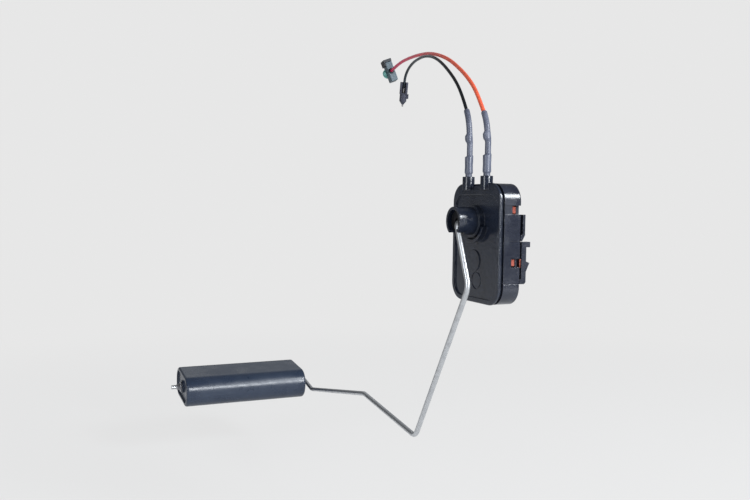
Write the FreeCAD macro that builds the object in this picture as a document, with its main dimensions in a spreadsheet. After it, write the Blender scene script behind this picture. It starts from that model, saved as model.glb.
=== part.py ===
"""Fuel level sensor with a swinging float arm, in millimetres.

+X is right as the cover is seen, -Y is the front, +Z is up. The origin lies on
the arm's pivot axis, in the plane of the rail's rear face.
"""
import FreeCAD, Part
import math
import os
from types import SimpleNamespace

import Sketcher
from FreeCAD import Placement, Rotation, Vector

# Driving dimensions: name, value in millimetres or degrees, and what it is
DIMENSIONS = [
    ("cover_width", 41.6, "front cover, side to side"),
    ("cover_height", 55.4, "front cover, foot to top"),
    ("cover_corner", 8.5, "corner radius of the cover"),
    ("pivot_rise", 10.2, "pivot axis above the cover's middle"),
    ("front_to_pad", 13.7, "cover's front plane to the rail's rear face"),
    ("flange_thick", 1.1, "edge flange of the cover"),
    ("flange_edge", 0.6, "rounding of the flange's front edge"),
    ("groove_width", 1.6, "shadow groove between the flange and the case"),
    ("groove_depth", 1.2, "depth of that groove"),
    ("bead_width", 2.3, "raised rim round the cover's panel"),
    ("deck_height", 5.2, "raised deck between the panel and the cover's top"),
    ("panel_recess", 0.7, "panel below the rim"),
    ("notch_drop", 3.0, "cut-out in the flange between the bosses, below the cover's top"),
    ("collar_radius", 7.4, "collar at the hood's foot"),
    ("collar_height", 2.0, "collar and guard ahead of the front plane"),
    ("guard_radius", 10.0, "crescent guard below the collar, outside"),
    ("guard_wall", 1.4, "wall of the guard"),
    ("guard_start", -115.0, "direction where the guard starts, from +X"),
    ("guard_end", -15.0, "direction where the guard ends"),
    ("hood_radius", 6.5, "hood over the arm's root, outside"),
    ("hood_wall", 1.2, "wall of the hood"),
    ("hood_reach", 11.75, "hood's rim ahead of the front plane"),
    ("notch_depth", 4.2, "arm's window, from the rim back"),
    ("stop_gap", 0.15, "wire beside the window's edge at either stop"),
    ("spigot_height", 1.3, "locating wall that enters the case"),
    ("spigot_wall", 1.0, "thickness of that wall"),
    ("spigot_gap", 0.1, "its clearance in the case"),
    ("boss_spacing", 16.0, "between the two terminal bosses"),
    ("boss_radius", 2.85, "terminal boss"),
    ("boss_setback", 0.8, "boss axis behind the front plane"),
    ("boss_rise", 3.2, "boss above the cover's top"),
    ("boss_drop", 3.0, "boss root below the cover's top"),
    ("boss_behind", 1.0, "trimming of the boss roots behind the boss"),
    ("dial_radius", 5.0, "round pad on the panel"),
    ("dial_height", 0.45, "its height"),
    ("dial_shift", -1.2, "its centre from the pivot axis, sideways"),
    ("dial_drop", 18.4, "its centre below the pivot axis"),
    ("ring_radius", 4.2, "ring groove in the panel, outside"),
    ("ring_width", 0.7, "width of that groove"),
    ("ring_depth", 0.35, "depth of that groove"),
    ("ring_shift", 1.0, "its centre from the pivot axis, sideways"),
    ("ring_drop", 27.5, "its centre below the pivot axis"),
    ("case_inset", 0.2, "case inside the cover's outline"),
    ("case_wall", 1.6, "side walls of the case"),
    ("case_back", 1.5, "back wall of the case"),
    ("case_edge", 0.8, "rounding of the case's rear edge"),
    ("rail_stand", 2.2, "rail's rear face behind the case"),
    ("rail_top", 3.4, "rail's top above the pivot axis"),
    ("rail_height", 9.2, "height of the rail"),
    ("rail_ramp", 2.7, "lead-in ramp below the rail"),
    ("rail_toe", 0.7, "thickness left at the foot of the ramp"),
    ("neck_height", 1.1, "undercut behind the rail's lips, front to back"),
    ("neck_inset", 2.4, "depth of that undercut from each side"),
    ("window_height", 4.0, "side windows"),
    ("window_depth", 2.2, "how far a window cuts in from the side"),
    ("window_front", 7.0, "front edge of the windows behind the front plane"),
    ("lower_window_drop", 16.3, "top of the lower windows below the pivot axis"),
    ("side_recess", 0.4, "sunk bands on the case's sides"),
    ("recess_front", 0.3, "front edge of the bands behind the case's front"),
    ("recess_foot", 27.9, "foot of the lower band below the pivot axis"),
    ("cut_over", 1.0, "how far the side cuts reach past the case"),
    ("latch_width", 2.7, "snap tongue, side to side"),
    ("latch_inset", 0.2, "tongue inside the case's side"),
    ("latch_gap", 0.8, "space between the tongue and the case"),
    ("latch_thick", 2.4, "tongue, front to back"),
    ("latch_top_drop", 8.8, "tongue's free end below the pivot axis"),
    ("latch_length", 19.0, "tongue, free end to root"),
    ("latch_root", 2.2, "height of the tongue's root"),
    ("latch_bevel", 0.8, "bevel at the tongue's foot"),
    ("tab_height", 2.4, "finger tab"),
    ("tab_reach", 2.0, "finger tab behind the tongue"),
    ("tooth_drop", 8.8, "catch below the tongue's free end"),
    ("tooth_height", 4.7, "height of the catch"),
    ("tooth_reach", 1.8, "catch behind the tongue"),
    ("tooth_lip", 0.7, "how far the catch's top face slopes"),
    ("pillar_radius", 0.9, "posts that carry the card"),
    ("card_side_gap", 1.3, "resistor card beside the case's inner wall"),
    ("card_height", 31.0, "resistor card, foot to top"),
    ("card_thick", 1.0, "resistor card"),
    ("card_corner", 1.5, "cut corners of the card"),
    ("card_setback", 6.2, "card's front face behind the front plane"),
    ("card_top", 9.0, "card's top above the pivot axis"),
    ("pillar_margin", 1.0, "post centre inside the card's top or foot"),
    ("pillar_spacing", 24.0, "between the posts, side to side"),
    ("track_outer_radius", 15.5, "middle radius of the resistor track"),
    ("track_inner_radius", 11.5, "middle radius of the return track"),
    ("track_width", 1.8, "width of the tracks"),
    ("track_thick", 0.12, "thickness of the printed layer"),
    ("track_margin", 6.0, "track beyond the wiper's travel at each end"),
    ("link_width", 1.0, "printed lines to the pads"),
    ("link_reach", 13.4, "outer edge of those lines from the middle"),
    ("pad_size", 2.4, "printed contact pads"),
    ("pad_drop", 0.5, "pads below the card's top"),
    ("clip_sheet", 0.4, "sheet of the card clips"),
    ("clip_height", 3.0, "width of a card clip's strip"),
    ("clip_gap", 0.15, "clip beside the card's edge"),
    ("clip_hook", 1.2, "hook over the card's front"),
    ("post_radius", 0.8, "round terminal post"),
    ("post_rise", 5.0, "post above the boss"),
    ("strip_width", 2.4, "flat leg of a terminal"),
    ("strip_thick", 0.6, "sheet of a terminal"),
    ("strip_setback", 1.0, "leg's front face behind the front plane"),
    ("strip_foot", 6.2, "foot of the leg below the cover's top"),
    ("strip_lap", 1.5, "leg's top below the cover's top"),
    ("finger_length", 3.6, "contact finger on the card"),
    ("contact_gap", 0.05, "between touching metal faces"),
    ("insert_gap", 0.02, "between the terminal and the moulding"),
    ("journal_radius", 4.0, "hub in the cover's bore"),
    ("running_gap", 0.05, "radial clearance of the hub"),
    ("head_radius", 4.7, "hub's head inside the hood"),
    ("head_front", 9.9, "head's front face ahead of the front plane"),
    ("end_play", 0.1, "hub's play along its axis"),
    ("hub_tail", 3.9, "journal's end behind the front plane"),
    ("stud_radius", 2.4, "stud that carries the wiper"),
    ("stud_length", 0.9, "length of that stud"),
    ("slot_depth", 3.1, "groove for the arm in the head"),
    ("slot_reach", 7.0, "how far that groove is cut from the axis"),
    ("washer_thick", 0.3, "thrust washer"),
    ("washer_radius", 6.0, "its outer radius"),
    ("clip_thick", 0.4, "hub clip"),
    ("clip_radius", 6.0, "its outer radius"),
    ("clip_bite", 0.65, "depth of its groove in the hub"),
    ("clip_mouth", 5.0, "opening of the hub clip"),
    ("wiper_sheet", 0.25, "wiper spring"),
    ("wiper_ring", 4.2, "wiper's ring round the stud"),
    ("wiper_arm", 1.3, "width of a wiper arm"),
    ("wiper_pitch", 2.6, "between the two arms"),
    ("wiper_angle", -70.0, "direction of the arms when empty, from +X"),
    ("button_radius", 0.55, "contact button"),
    ("wire_diameter", 2.6, "float arm's wire"),
    ("wire_ahead", 9.93, "wire's plane ahead of the front plane"),
    ("wire_tail", 3.4, "wire's end inside the hub behind the front plane"),
    ("wire_fit", 0.03, "wire in the hub, radially"),
    ("root_bend", 3.0, "bend out of the hub"),
    ("elbow_bend", 6.0, "bends of the arm, on the centre line"),
    ("float_bend", 3.7, "bend into the float"),
    ("leg1_length", 31.59, "arm from the pivot axis to its first bend"),
    ("leg1_heading", -67.56, "its direction from +X when empty"),
    ("leg2_length", 95.71, "first bend to the second"),
    ("leg2_heading", -121.25, "its direction"),
    ("leg3_length", 67.47, "second bend to the third"),
    ("leg3_heading", 174.2, "its direction"),
    ("leg4_length", 95.12, "third bend to the fourth"),
    ("leg4_heading", 191.04, "its direction"),
    ("leg5_length", 22.01, "fourth bend to the float's axis"),
    ("leg5_heading", 169.39, "its direction"),
    ("arm_travel", 40.0, "swing from the empty stop to the full stop"),
    ("float_width", 40.3, "float, across its section"),
    ("float_depth", 20.0, "float, through its section"),
    ("float_length", 82.5, "float, along its axis"),
    ("float_corner", 8.9, "long edges of the float"),
    ("float_edge", 1.4, "end edges of the float"),
    ("float_gap", 0.25, "float beside the wire's bend"),
    ("float_tilt", 5.1, "float's turn on the wire"),
    ("float_bore_gap", 0.08, "float on the wire, radially"),
    ("end_recess", 1.2, "sunk field in the float's ends"),
    ("end_margin", 2.2, "rim round that field"),
    ("end_boss", 4.2, "boss round the bore"),
    ("retainer_gap", 0.25, "push-on retainer beside the float"),
    ("retainer_flange", 3.4, "radius of its flange"),
    ("retainer_sheet", 0.6, "thickness of its flange"),
    ("retainer_flare", 0.36, "slope between its flange and its collar"),
    ("retainer_collar", 2.0, "radius of its collar"),
    ("retainer_length", 2.9, "whole length"),
    ("pin_reach", 3.5, "wire's end beyond the retainer"),
    ("sleeve_neck", 1.55, "sleeve's radius at the boss"),
    ("neck_length", 1.2, "length of the neck"),
    ("sleeve_wide", 1.95, "radius over the crimp"),
    ("wide_length", 7.4, "length of that stretch"),
    ("sleeve_slim", 1.45, "radius over the lead"),
    ("shoulder_length", 0.7, "slope between the radii"),
    ("bulge_height", 18.0, "middle of the bulge above the boss"),
    ("bulge_length", 4.2, "length of the bulge"),
    ("bulge_radius", 1.5, "radius of the bulge"),
    ("bulge_shift", 0.9, "bulge off the sleeve's axis"),
    ("black_bend_start", 18.2, "where the black lead's sleeve starts to bend"),
    ("black_bend_radius", 22.0, "its bend"),
    ("black_bend_angle", 38.0, "its turn"),
    ("red_bend_start", 15.9, "where the red lead's sleeve starts to bend"),
    ("red_bend_radius", 20.0, "its bend"),
    ("red_bend_angle", 42.0, "its turn"),
    ("crimp_radius", 1.4, "crimp barrel inside a sleeve"),
    ("crimp_length", 5.6, "its length"),
    ("crimp_start", 1.4, "its foot above the boss"),
    ("black_exit_run", 10.6, "black lead's first straight run"),
    ("red_exit_run", 12.2, "red lead's first straight run"),
    ("lead_bearing", 10.0, "leads' plane, turned from -X towards +Y"),
    ("black_lead_diameter", 1.6, "black lead"),
    ("red_lead_diameter", 1.9, "red lead"),
    ("plug_width", 4.8, "black connector"),
    ("plug_depth", 4.4, "black connector"),
    ("plug_head", 7.0, "its open upper half"),
    ("plug_corner", 0.8, "rounding of the head's corners"),
    ("plug_floor", 0.6, "head left below the channel"),
    ("plug_barrel", 4.3, "its round lower half"),
    ("plug_cone", 2.0, "cone at the foot"),
    ("plug_nose_radius", 2.15, "radius of the round half"),
    ("plug_tip_radius", 0.7, "radius at the cone's tip"),
    ("plug_channel", 2.2, "width of the channel for the lead"),
    ("plug_lug_reach", 3.2, "lug's outer face from the axis"),
    ("plug_lug_width", 2.0, "lug at its side"),
    ("plug_lug_height", 2.7, "height of the lug"),
    ("plug_turn", 66.0, "connector's turn about the lead"),
    ("plug_crimp_radius", 0.9, "contact's barrel in the channel"),
    ("plug_pin_radius", 0.45, "contact pin"),
    ("plug_pin_reach", 1.4, "pin beyond the nose"),
    ("block_tall", 13.0, "red connector"),
    ("block_wide", 4.7, "red connector"),
    ("block_deep", 6.0, "red connector, along the lead"),
    ("block_corner", 0.5, "rounding of its corners"),
    ("block_lean", 21.0, "its lean about the lead"),
    ("block_entry", 6.3, "lead's entry below the connector's top"),
    ("cap_height", 1.8, "lock cap on the red connector"),
    ("cap_lip", 0.4, "cap beyond the connector's faces"),
    ("cap_skirt", 2.2, "cap's skirt at the connector's side"),
    ("cap_skirt_sheet", 0.8, "thickness of the skirt"),
    ("seal_radius", 3.2, "round seal behind the connector"),
    ("seal_reach", 2.0, "seal, along the lead"),
    ("seal_shift", 1.0, "seal's centre beside the lead's entry"),
    ("seal_edge", 0.4, "rounding of the seal"),
    ("seal_neck", 1.1, "radius of its neck in the connector"),
    ("seal_sink", 1.0, "how far the neck enters"),
]

# Points of each lead after its first run: distance along the leads' bearing, height above the pivot
BLACK_ROUTE = [
    (23.7, 71.1), (48.5, 84.6), (70.8, 90.7), (92.7, 91.5),
    (105.2, 89.5), (111.7, 86.4), (114.4, 83.0), (115.5, 78.8),
]
RED_ROUTE = [
    (22.9, 66.6), (37.0, 74.6), (57.9, 84.1), (85.2, 91.8),
    (110.3, 95.4), (135.5, 97.4), (153.7, 97.8), (171.8, 96.3),
]

doc = FreeCAD.newDocument("level_sensor")
sheet = doc.addObject("Spreadsheet::Sheet", "Dims")


class Size:
    """A dimension that knows its value and the formula it comes from."""

    def __init__(self, value, text):
        self.value = float(value)
        self.text = text

    def __add__(self, other):
        other = as_size(other)
        return Size(self.value + other.value, f"({self.text} + {other.text})")

    def __sub__(self, other):
        other = as_size(other)
        return Size(self.value - other.value, f"({self.text} - {other.text})")

    def __mul__(self, other):
        other = as_size(other)
        return Size(self.value * other.value, f"({self.text} * {other.text})")

    def __truediv__(self, other):
        other = as_size(other)
        return Size(self.value / other.value, f"({self.text} / {other.text})")

    def __neg__(self):
        return Size(-self.value, f"(0 - {self.text})")

    def __radd__(self, other):
        return as_size(other) + self

    def __rsub__(self, other):
        return as_size(other) - self

    def __rmul__(self, other):
        return as_size(other) * self


def as_size(number):
    """A plain number as a Size."""
    return number if isinstance(number, Size) else Size(number, f"{number:g}")


def cosine(angle):
    """Cosine of an angle in degrees."""
    return Size(math.cos(math.radians(angle.value)), f"cos({angle.text})")


def sine(angle):
    """Sine of an angle in degrees."""
    return Size(math.sin(math.radians(angle.value)), f"sin({angle.text})")


def arcsine(ratio):
    """Angle in degrees whose sine is a ratio."""
    return Size(math.degrees(math.asin(ratio.value)), f"(asin({ratio.text}) / 1 deg)")


def fill_sheet():
    """Write the dimensions into the sheet and return them as named sizes."""
    sizes = {}
    for row, (name, value, meaning) in enumerate(DIMENSIONS, start=1):
        sheet.set(f"A{row}", name)
        sheet.set(f"B{row}", str(value))
        sheet.set(f"C{row}", meaning)
        sheet.setAlias(f"B{row}", name)
        sizes[name] = Size(value, f"Dims.{name}")
    doc.recompute()
    return SimpleNamespace(**sizes)


dim = fill_sheet()

# Named places that several pieces share
ZERO = as_size(0)
FRONT = -dim.front_to_pad
COVER_TOP = dim.cover_height / 2 - dim.pivot_rise
COVER_FOOT = -dim.cover_height / 2 - dim.pivot_rise
SEAM = FRONT + dim.flange_thick + dim.groove_width
CASE_REAR = -dim.rail_stand
CAVITY_REAR = CASE_REAR - dim.case_back
CASE_SIDE = dim.cover_width / 2 - dim.case_inset
CAVITY_SIDE = CASE_SIDE - dim.case_wall
CARD_SIDE = CAVITY_SIDE - dim.card_side_gap
BOSS_TOP = COVER_TOP + dim.boss_rise
BOSS_DEPTH = FRONT + dim.boss_setback
CARD_FRONT = FRONT + dim.card_setback
CARD_REAR = CARD_FRONT + dim.card_thick
TRACK_FRONT = CARD_FRONT - dim.track_thick
CARD_FOOT = dim.card_top - dim.card_height
WIRE_PLANE = FRONT - dim.wire_ahead
WIRE_RADIUS = dim.wire_diameter / 2
LATCH_FRONT = CASE_REAR + dim.latch_gap
LATCH_REAR = LATCH_FRONT + dim.latch_thick
LATCH_TOP = -dim.latch_top_drop
FLOAT_NEAR = WIRE_PLANE - dim.float_bend - dim.float_gap
FLOAT_FAR = FLOAT_NEAR - dim.float_length
RETAINER_NEAR = FLOAT_FAR - dim.retainer_gap


def arm_bends():
    """Bends of the arm in its plane, each as across and up from the pivot axis."""
    legs = [
        (dim.leg1_length, dim.leg1_heading), (dim.leg2_length, dim.leg2_heading),
        (dim.leg3_length, dim.leg3_heading), (dim.leg4_length, dim.leg4_heading),
        (dim.leg5_length, dim.leg5_heading),
    ]
    across, up = ZERO, ZERO
    bends = []
    for length, heading in legs:
        across = across + cosine(heading) * length
        up = up + sine(heading) * length
        bends.append((across, up))
    return bends


ARM_BENDS = arm_bends()
FLOAT_ACROSS, FLOAT_UP = ARM_BENDS[-1]
PLUG_FLOOR = dim.plug_floor - dim.plug_head / 2
PLUG_TIP = -dim.plug_head / 2 - dim.plug_barrel - dim.plug_cone


def bind(thing, prop, size):
    """Tie a property to the sheet."""
    thing.setExpression(prop, size.text)


def new_body(name):
    """An empty body with its own label."""
    body = doc.addObject("PartDesign::Body", name)
    body.Label = name
    return body


def place(thing, x=ZERO, y=ZERO, z=ZERO):
    """Move a piece and keep its place tied to the sheet."""
    for letter, size in zip("xyz", (x, y, z)):
        bind(thing, f"Placement.Base.{letter}", as_size(size))


# Sketch plane for each axis, and whether the plane's normal points along the axis
PLANES = {"x": ("YZ_Plane", 1), "y": ("XZ_Plane", -1), "z": ("XY_Plane", 1)}


class Drawing:
    """A sketch whose shapes are tied to the sheet."""

    def __init__(self, body, name, axis, position):
        role, sense = PLANES[axis]
        plane = next(item for item in body.Origin.OriginFeatures if item.Role == role)
        self.sketch = body.newObject("Sketcher::SketchObject", name)
        self.sketch.AttachmentSupport = [(plane, "")]
        self.sketch.MapMode = "FlatFace"
        offset = position if sense > 0 else -position
        bind(self.sketch, "AttachmentOffset.Base.z", offset)

    def _fix(self, kind, geometry, point, size):
        rule = Sketcher.Constraint(kind, -1, 1, geometry, point, size.value)
        index = self.sketch.addConstraint(rule)
        self.sketch.setExpression(f"Constraints[{index}]", size.text)

    def polygon(self, corners):
        """A closed outline through points given as pairs of sizes."""
        corners = [(as_size(across), as_size(up)) for across, up in corners]
        spots = [Vector(across.value, up.value, 0) for across, up in corners]
        count = len(spots)
        first = self.sketch.GeometryCount
        for index in range(count):
            line = Part.LineSegment(spots[index], spots[(index + 1) % count])
            self.sketch.addGeometry(line, False)
        for index in range(count):
            follower = first + (index + 1) % count
            joint = Sketcher.Constraint("Coincident", first + index, 2, follower, 1)
            self.sketch.addConstraint(joint)
        for index, (across, up) in enumerate(corners):
            self._fix("DistanceX", first + index, 1, across)
            self._fix("DistanceY", first + index, 1, up)

    def box(self, left, low, right, high):
        """A rectangle between two corners."""
        self.polygon([(left, low), (right, low), (right, high), (left, high)])

    def circle(self, across, up, radius):
        """A circle about a point."""
        across, up = as_size(across), as_size(up)
        centre = Vector(across.value, up.value, 0)
        ring = Part.Circle(centre, Vector(0, 0, 1), radius.value)
        index = self.sketch.addGeometry(ring, False)
        self._fix("DistanceX", index, 3, across)
        self._fix("DistanceY", index, 3, up)
        rule = self.sketch.addConstraint(Sketcher.Constraint("Radius", index, radius.value))
        self.sketch.setExpression(f"Constraints[{rule}]", radius.text)

    def arc_band(self, inner, outer, start, end):
        """A strip about the origin between two radii and two directions."""
        first = self.sketch.GeometryCount
        turns = [math.radians(angle.value) for angle in (start, end)]
        for radius in (outer, inner):
            ring = Part.Circle(Vector(0, 0, 0), Vector(0, 0, 1), radius.value)
            self.sketch.addGeometry(Part.ArcOfCircle(ring, *turns), False)
        for angle in turns:
            ray = Vector(math.cos(angle), math.sin(angle), 0)
            side = Part.LineSegment(ray * outer.value, ray * inner.value)
            self.sketch.addGeometry(side, False)
        for point in (1, 2):
            line = first + 1 + point
            self.sketch.addConstraint(Sketcher.Constraint("Coincident", line, 1, first, point))
            self.sketch.addConstraint(Sketcher.Constraint("Coincident", line, 2, first + 1, point))
        for arc, radius in ((first, outer), (first + 1, inner)):
            self.sketch.addConstraint(Sketcher.Constraint("Coincident", arc, 3, -1, 1))
            rule = self.sketch.addConstraint(Sketcher.Constraint("Radius", arc, radius.value))
            self.sketch.setExpression(f"Constraints[{rule}]", radius.text)
            for point, angle in ((1, start), (2, end)):
                across, up = cosine(angle) * radius, sine(angle) * radius
                if abs(up.value) > abs(across.value):
                    self._fix("DistanceX", arc, point, across)
                else:
                    self._fix("DistanceY", arc, point, up)

    def round_box(self, left, low, right, high, radius):
        """A rectangle with four equal round corners."""
        x0, z0, x1, z1 = (as_size(side).value for side in (left, low, right, high))
        curve = radius.value
        lines = [
            ((x0 + curve, z0), (x1 - curve, z0)), ((x1, z0 + curve), (x1, z1 - curve)),
            ((x1 - curve, z1), (x0 + curve, z1)), ((x0, z1 - curve), (x0, z0 + curve)),
        ]
        centres = [
            (x1 - curve, z0 + curve), (x1 - curve, z1 - curve),
            (x0 + curve, z1 - curve), (x0 + curve, z0 + curve),
        ]
        first = self.sketch.GeometryCount
        for index in range(4):
            start, end = lines[index]
            self.sketch.addGeometry(Part.LineSegment(Vector(*start, 0), Vector(*end, 0)), False)
            ring = Part.Circle(Vector(*centres[index], 0), Vector(0, 0, 1), curve)
            turn = (index - 1) * math.pi / 2
            self.sketch.addGeometry(Part.ArcOfCircle(ring, turn, turn + math.pi / 2), False)
        for index in range(4):
            line, arc = first + 2 * index, first + 2 * index + 1
            follower = first + (2 * index + 2) % 8
            self.sketch.addConstraint(Sketcher.Constraint("Tangent", line, 2, arc, 1))
            self.sketch.addConstraint(Sketcher.Constraint("Tangent", arc, 2, follower, 1))
        for index in (1, 2, 3):
            equal = Sketcher.Constraint("Equal", first + 1, first + 2 * index + 1)
            self.sketch.addConstraint(equal)
        self.sketch.addConstraint(Sketcher.Constraint("Horizontal", first))
        self.sketch.addConstraint(Sketcher.Constraint("Vertical", first + 2))
        self._fix("DistanceY", first, 1, as_size(low))
        self._fix("DistanceX", first + 2, 1, as_size(right))
        self._fix("DistanceY", first + 4, 1, as_size(high))
        self._fix("DistanceX", first + 6, 1, as_size(left))
        rule = self.sketch.addConstraint(Sketcher.Constraint("Radius", first + 1, curve))
        self.sketch.setExpression(f"Constraints[{rule}]", radius.text)


def solid_volume(body):
    """Volume of a body as built so far, and none for an empty one."""
    doc.recompute()
    return body.Shape.Volume if body.Tip else 0.0


def require(condition, name):
    """Stop with the feature's name if something did not come out."""
    if not condition:
        raise RuntimeError(f"{name} did not come out as meant")


def add(body, name, axis, start, end, draw):
    """Pad an outline between two places along an axis."""
    before = solid_volume(body)
    start, end = as_size(start), as_size(end)
    drawing = Drawing(body, f"{name}_sketch", axis, start if PLANES[axis][1] > 0 else end)
    draw(drawing)
    pad = body.newObject("PartDesign::Pad", name)
    pad.Profile = drawing.sketch
    bind(pad, "Length", end - start)
    require(solid_volume(body) > before, name)
    return pad


def cut(body, name, axis, start, end, draw):
    """Pocket an outline between two places along an axis."""
    before = solid_volume(body)
    start, end = as_size(start), as_size(end)
    drawing = Drawing(body, f"{name}_sketch", axis, end if PLANES[axis][1] > 0 else start)
    draw(drawing)
    pocket = body.newObject("PartDesign::Pocket", name)
    pocket.Profile = drawing.sketch
    bind(pocket, "Length", end - start)
    require(solid_volume(body) < before, name)
    return pocket


def turn(body, name, draw, upright=False):
    """Revolve an outline of radius and height about the body's Y axis, or about its Z axis."""
    before = solid_volume(body)
    drawing = Drawing(body, f"{name}_sketch", "y" if upright else "z", ZERO)
    draw(drawing)
    feature = body.newObject("PartDesign::Revolution", name)
    feature.Profile = drawing.sketch
    feature.ReferenceAxis = (drawing.sketch, ["V_Axis"])
    feature.Angle = 360
    require(solid_volume(body) > before, name)
    return feature


def mirror(body, name, features):
    """Repeat features on the other side of the middle plane."""
    before = solid_volume(body)
    copy = body.newObject("PartDesign::Mirrored", name)
    copy.Originals = features
    plane = next(item for item in body.Origin.OriginFeatures if item.Role == "YZ_Plane")
    copy.MirrorPlane = (plane, [""])
    body.Tip = copy
    require(abs(solid_volume(body) - before) > 1e-6, name)
    return copy


def soften(body, name, radius, wanted, kind="Fillet"):
    """Round or bevel the edges that a test picks."""
    before = solid_volume(body)
    base = body.Tip
    names = [f"Edge{index + 1}" for index, edge in enumerate(base.Shape.Edges) if wanted(edge)]
    require(names, name)
    feature = body.newObject(f"PartDesign::{kind}", name)
    feature.Base = (base, names)
    bind(feature, "Radius" if kind == "Fillet" else "Size", radius)
    require(abs(solid_volume(body) - before) > 1e-9, name)
    return feature


def level(edge, letter):
    """Place of an edge along an axis where it is flat there, and otherwise None."""
    low = getattr(edge.BoundBox, f"{letter.upper()}Min")
    high = getattr(edge.BoundBox, f"{letter.upper()}Max")
    return (low + high) / 2 if high - low < 1e-5 else None


def lies_at(edge, letter, size):
    """Whether an edge lies at one place along an axis."""
    found = level(edge, letter)
    return found is not None and abs(found - size.value) < 1e-4


def cover_outline(inset):
    """The cover's rounded outline, moved inwards."""
    half = dim.cover_width / 2 - inset
    return lambda drawing: drawing.round_box(
        -half, COVER_FOOT + inset, half, COVER_TOP - inset, dim.cover_corner - inset)


def sector(radius, start, end):
    """A wedge about the pivot axis between two directions."""
    middle = (start + end) / 2
    corners = [(ZERO, ZERO)]
    for direction in (start, middle, end):
        corners.append((cosine(direction) * radius, sine(direction) * radius))
    return lambda drawing: drawing.polygon(corners)


def band(radius, width, start, end, lift, thick):
    """A flat arc-shaped strip about the pivot axis, facing the front."""
    rims = []
    for rim in (radius.value + width.value / 2, radius.value - width.value / 2):
        spots = []
        for angle in (start, (start + end) / 2, end):
            bearing = math.radians(angle)
            spots.append(Vector(rim * math.cos(bearing), lift.value, rim * math.sin(bearing)))
        rims.append(spots)
    outer, inner = rims
    edges = [
        Part.Arc(*outer).toShape(), Part.makeLine(outer[2], inner[2]),
        Part.Arc(*inner[::-1]).toShape(), Part.makeLine(inner[0], outer[0]),
    ]
    return Part.Face(Part.Wire(edges)).extrude(Vector(0, thick.value, 0))


def front_cover():
    """Moulded cover: rim, panel, hood with the arm's window, and two terminal bosses."""
    body = new_body("front_cover")
    rear = SEAM
    add(body, "flange", "y", FRONT, FRONT + dim.flange_thick, cover_outline(ZERO))
    add(body, "step", "y", FRONT + dim.flange_thick, rear, cover_outline(dim.groove_depth))
    soften(body, "rim_rounding", dim.flange_edge, lambda edge: lies_at(edge, "y", FRONT))
    panel = FRONT + dim.panel_recess
    panel_side = dim.cover_width / 2 - dim.bead_width
    cut(body, "panel", "y", FRONT, panel, lambda drawing: drawing.round_box(
        -panel_side, COVER_FOOT + dim.bead_width, panel_side, COVER_TOP - dim.deck_height,
        dim.cover_corner - dim.bead_width))
    notch_side = dim.boss_spacing / 2 - dim.boss_radius
    cut(body, "top_notch", "y", FRONT, FRONT + dim.flange_thick, lambda drawing: drawing.box(
        -notch_side, COVER_TOP - dim.notch_drop, notch_side, COVER_TOP + dim.cut_over))
    add(body, "guard", "y", FRONT - dim.collar_height, panel, lambda drawing: drawing.arc_band(
        dim.guard_radius - dim.guard_wall, dim.guard_radius, dim.guard_start, dim.guard_end))
    add(body, "collar", "y", FRONT - dim.collar_height, rear,
        lambda drawing: drawing.circle(ZERO, ZERO, dim.collar_radius))
    rim = FRONT - dim.hood_reach
    add(body, "hood", "y", rim, FRONT,
        lambda drawing: drawing.circle(ZERO, ZERO, dim.hood_radius))
    inner = dim.hood_radius - dim.hood_wall
    cut(body, "hood_hollow", "y", rim, FRONT - dim.collar_height,
        lambda drawing: drawing.circle(ZERO, ZERO, inner))
    reach = arcsine((WIRE_RADIUS + dim.stop_gap) / inner)
    empty = dim.leg1_heading
    window = sector(dim.hood_radius * 2, empty - dim.arm_travel - reach, empty + reach)
    cut(body, "arm_window", "y", rim, rim + dim.notch_depth, window)
    bore = dim.journal_radius + dim.running_gap
    cut(body, "pivot_bore", "y", FRONT - dim.collar_height, rear,
        lambda drawing: drawing.circle(ZERO, ZERO, bore))
    add(body, "round_pad", "y", panel - dim.dial_height, rear,
        lambda drawing: drawing.circle(dim.dial_shift, -dim.dial_drop, dim.dial_radius))

    def ring(drawing):
        drawing.circle(dim.ring_shift, -dim.ring_drop, dim.ring_radius)
        drawing.circle(dim.ring_shift, -dim.ring_drop, dim.ring_radius - dim.ring_width)
    cut(body, "ring_groove", "y", FRONT, panel + dim.ring_depth, ring)

    def bosses(drawing):
        for side in (-1, 1):
            drawing.circle(dim.boss_spacing / 2 * side, BOSS_DEPTH, dim.boss_radius)
    add(body, "terminal_bosses", "z", COVER_TOP - dim.boss_drop, BOSS_TOP, bosses)
    behind = BOSS_DEPTH + dim.boss_radius + dim.boss_behind
    half = dim.cover_width / 2
    cut(body, "boss_heel", "z", COVER_TOP - dim.boss_drop, COVER_TOP,
        lambda drawing: drawing.box(-half, rear, half, behind))
    outer = dim.case_inset + dim.case_wall + dim.spigot_gap

    def spigot(drawing):
        cover_outline(outer)(drawing)
        cover_outline(outer + dim.spigot_wall)(drawing)
    add(body, "spigot", "y", rear, rear + dim.spigot_height, spigot)

    def post_holes(drawing):
        for side in (-1, 1):
            drawing.circle(dim.boss_spacing / 2 * side, BOSS_DEPTH, dim.post_radius + dim.insert_gap)
    cut(body, "post_holes", "z", COVER_TOP - dim.strip_lap, BOSS_TOP, post_holes)

    def slots(drawing):
        for side in (-1, 1):
            middle = dim.boss_spacing / 2 * side
            wide = dim.strip_width / 2 + dim.insert_gap
            low = COVER_TOP - dim.strip_foot
            drawing.box(middle - wide, low - dim.insert_gap, middle + wide, COVER_TOP - dim.strip_lap)
    cut(body, "strip_slots", "y", FRONT + dim.strip_setback - dim.insert_gap, rear + dim.spigot_height,
        slots)
    return body


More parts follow.
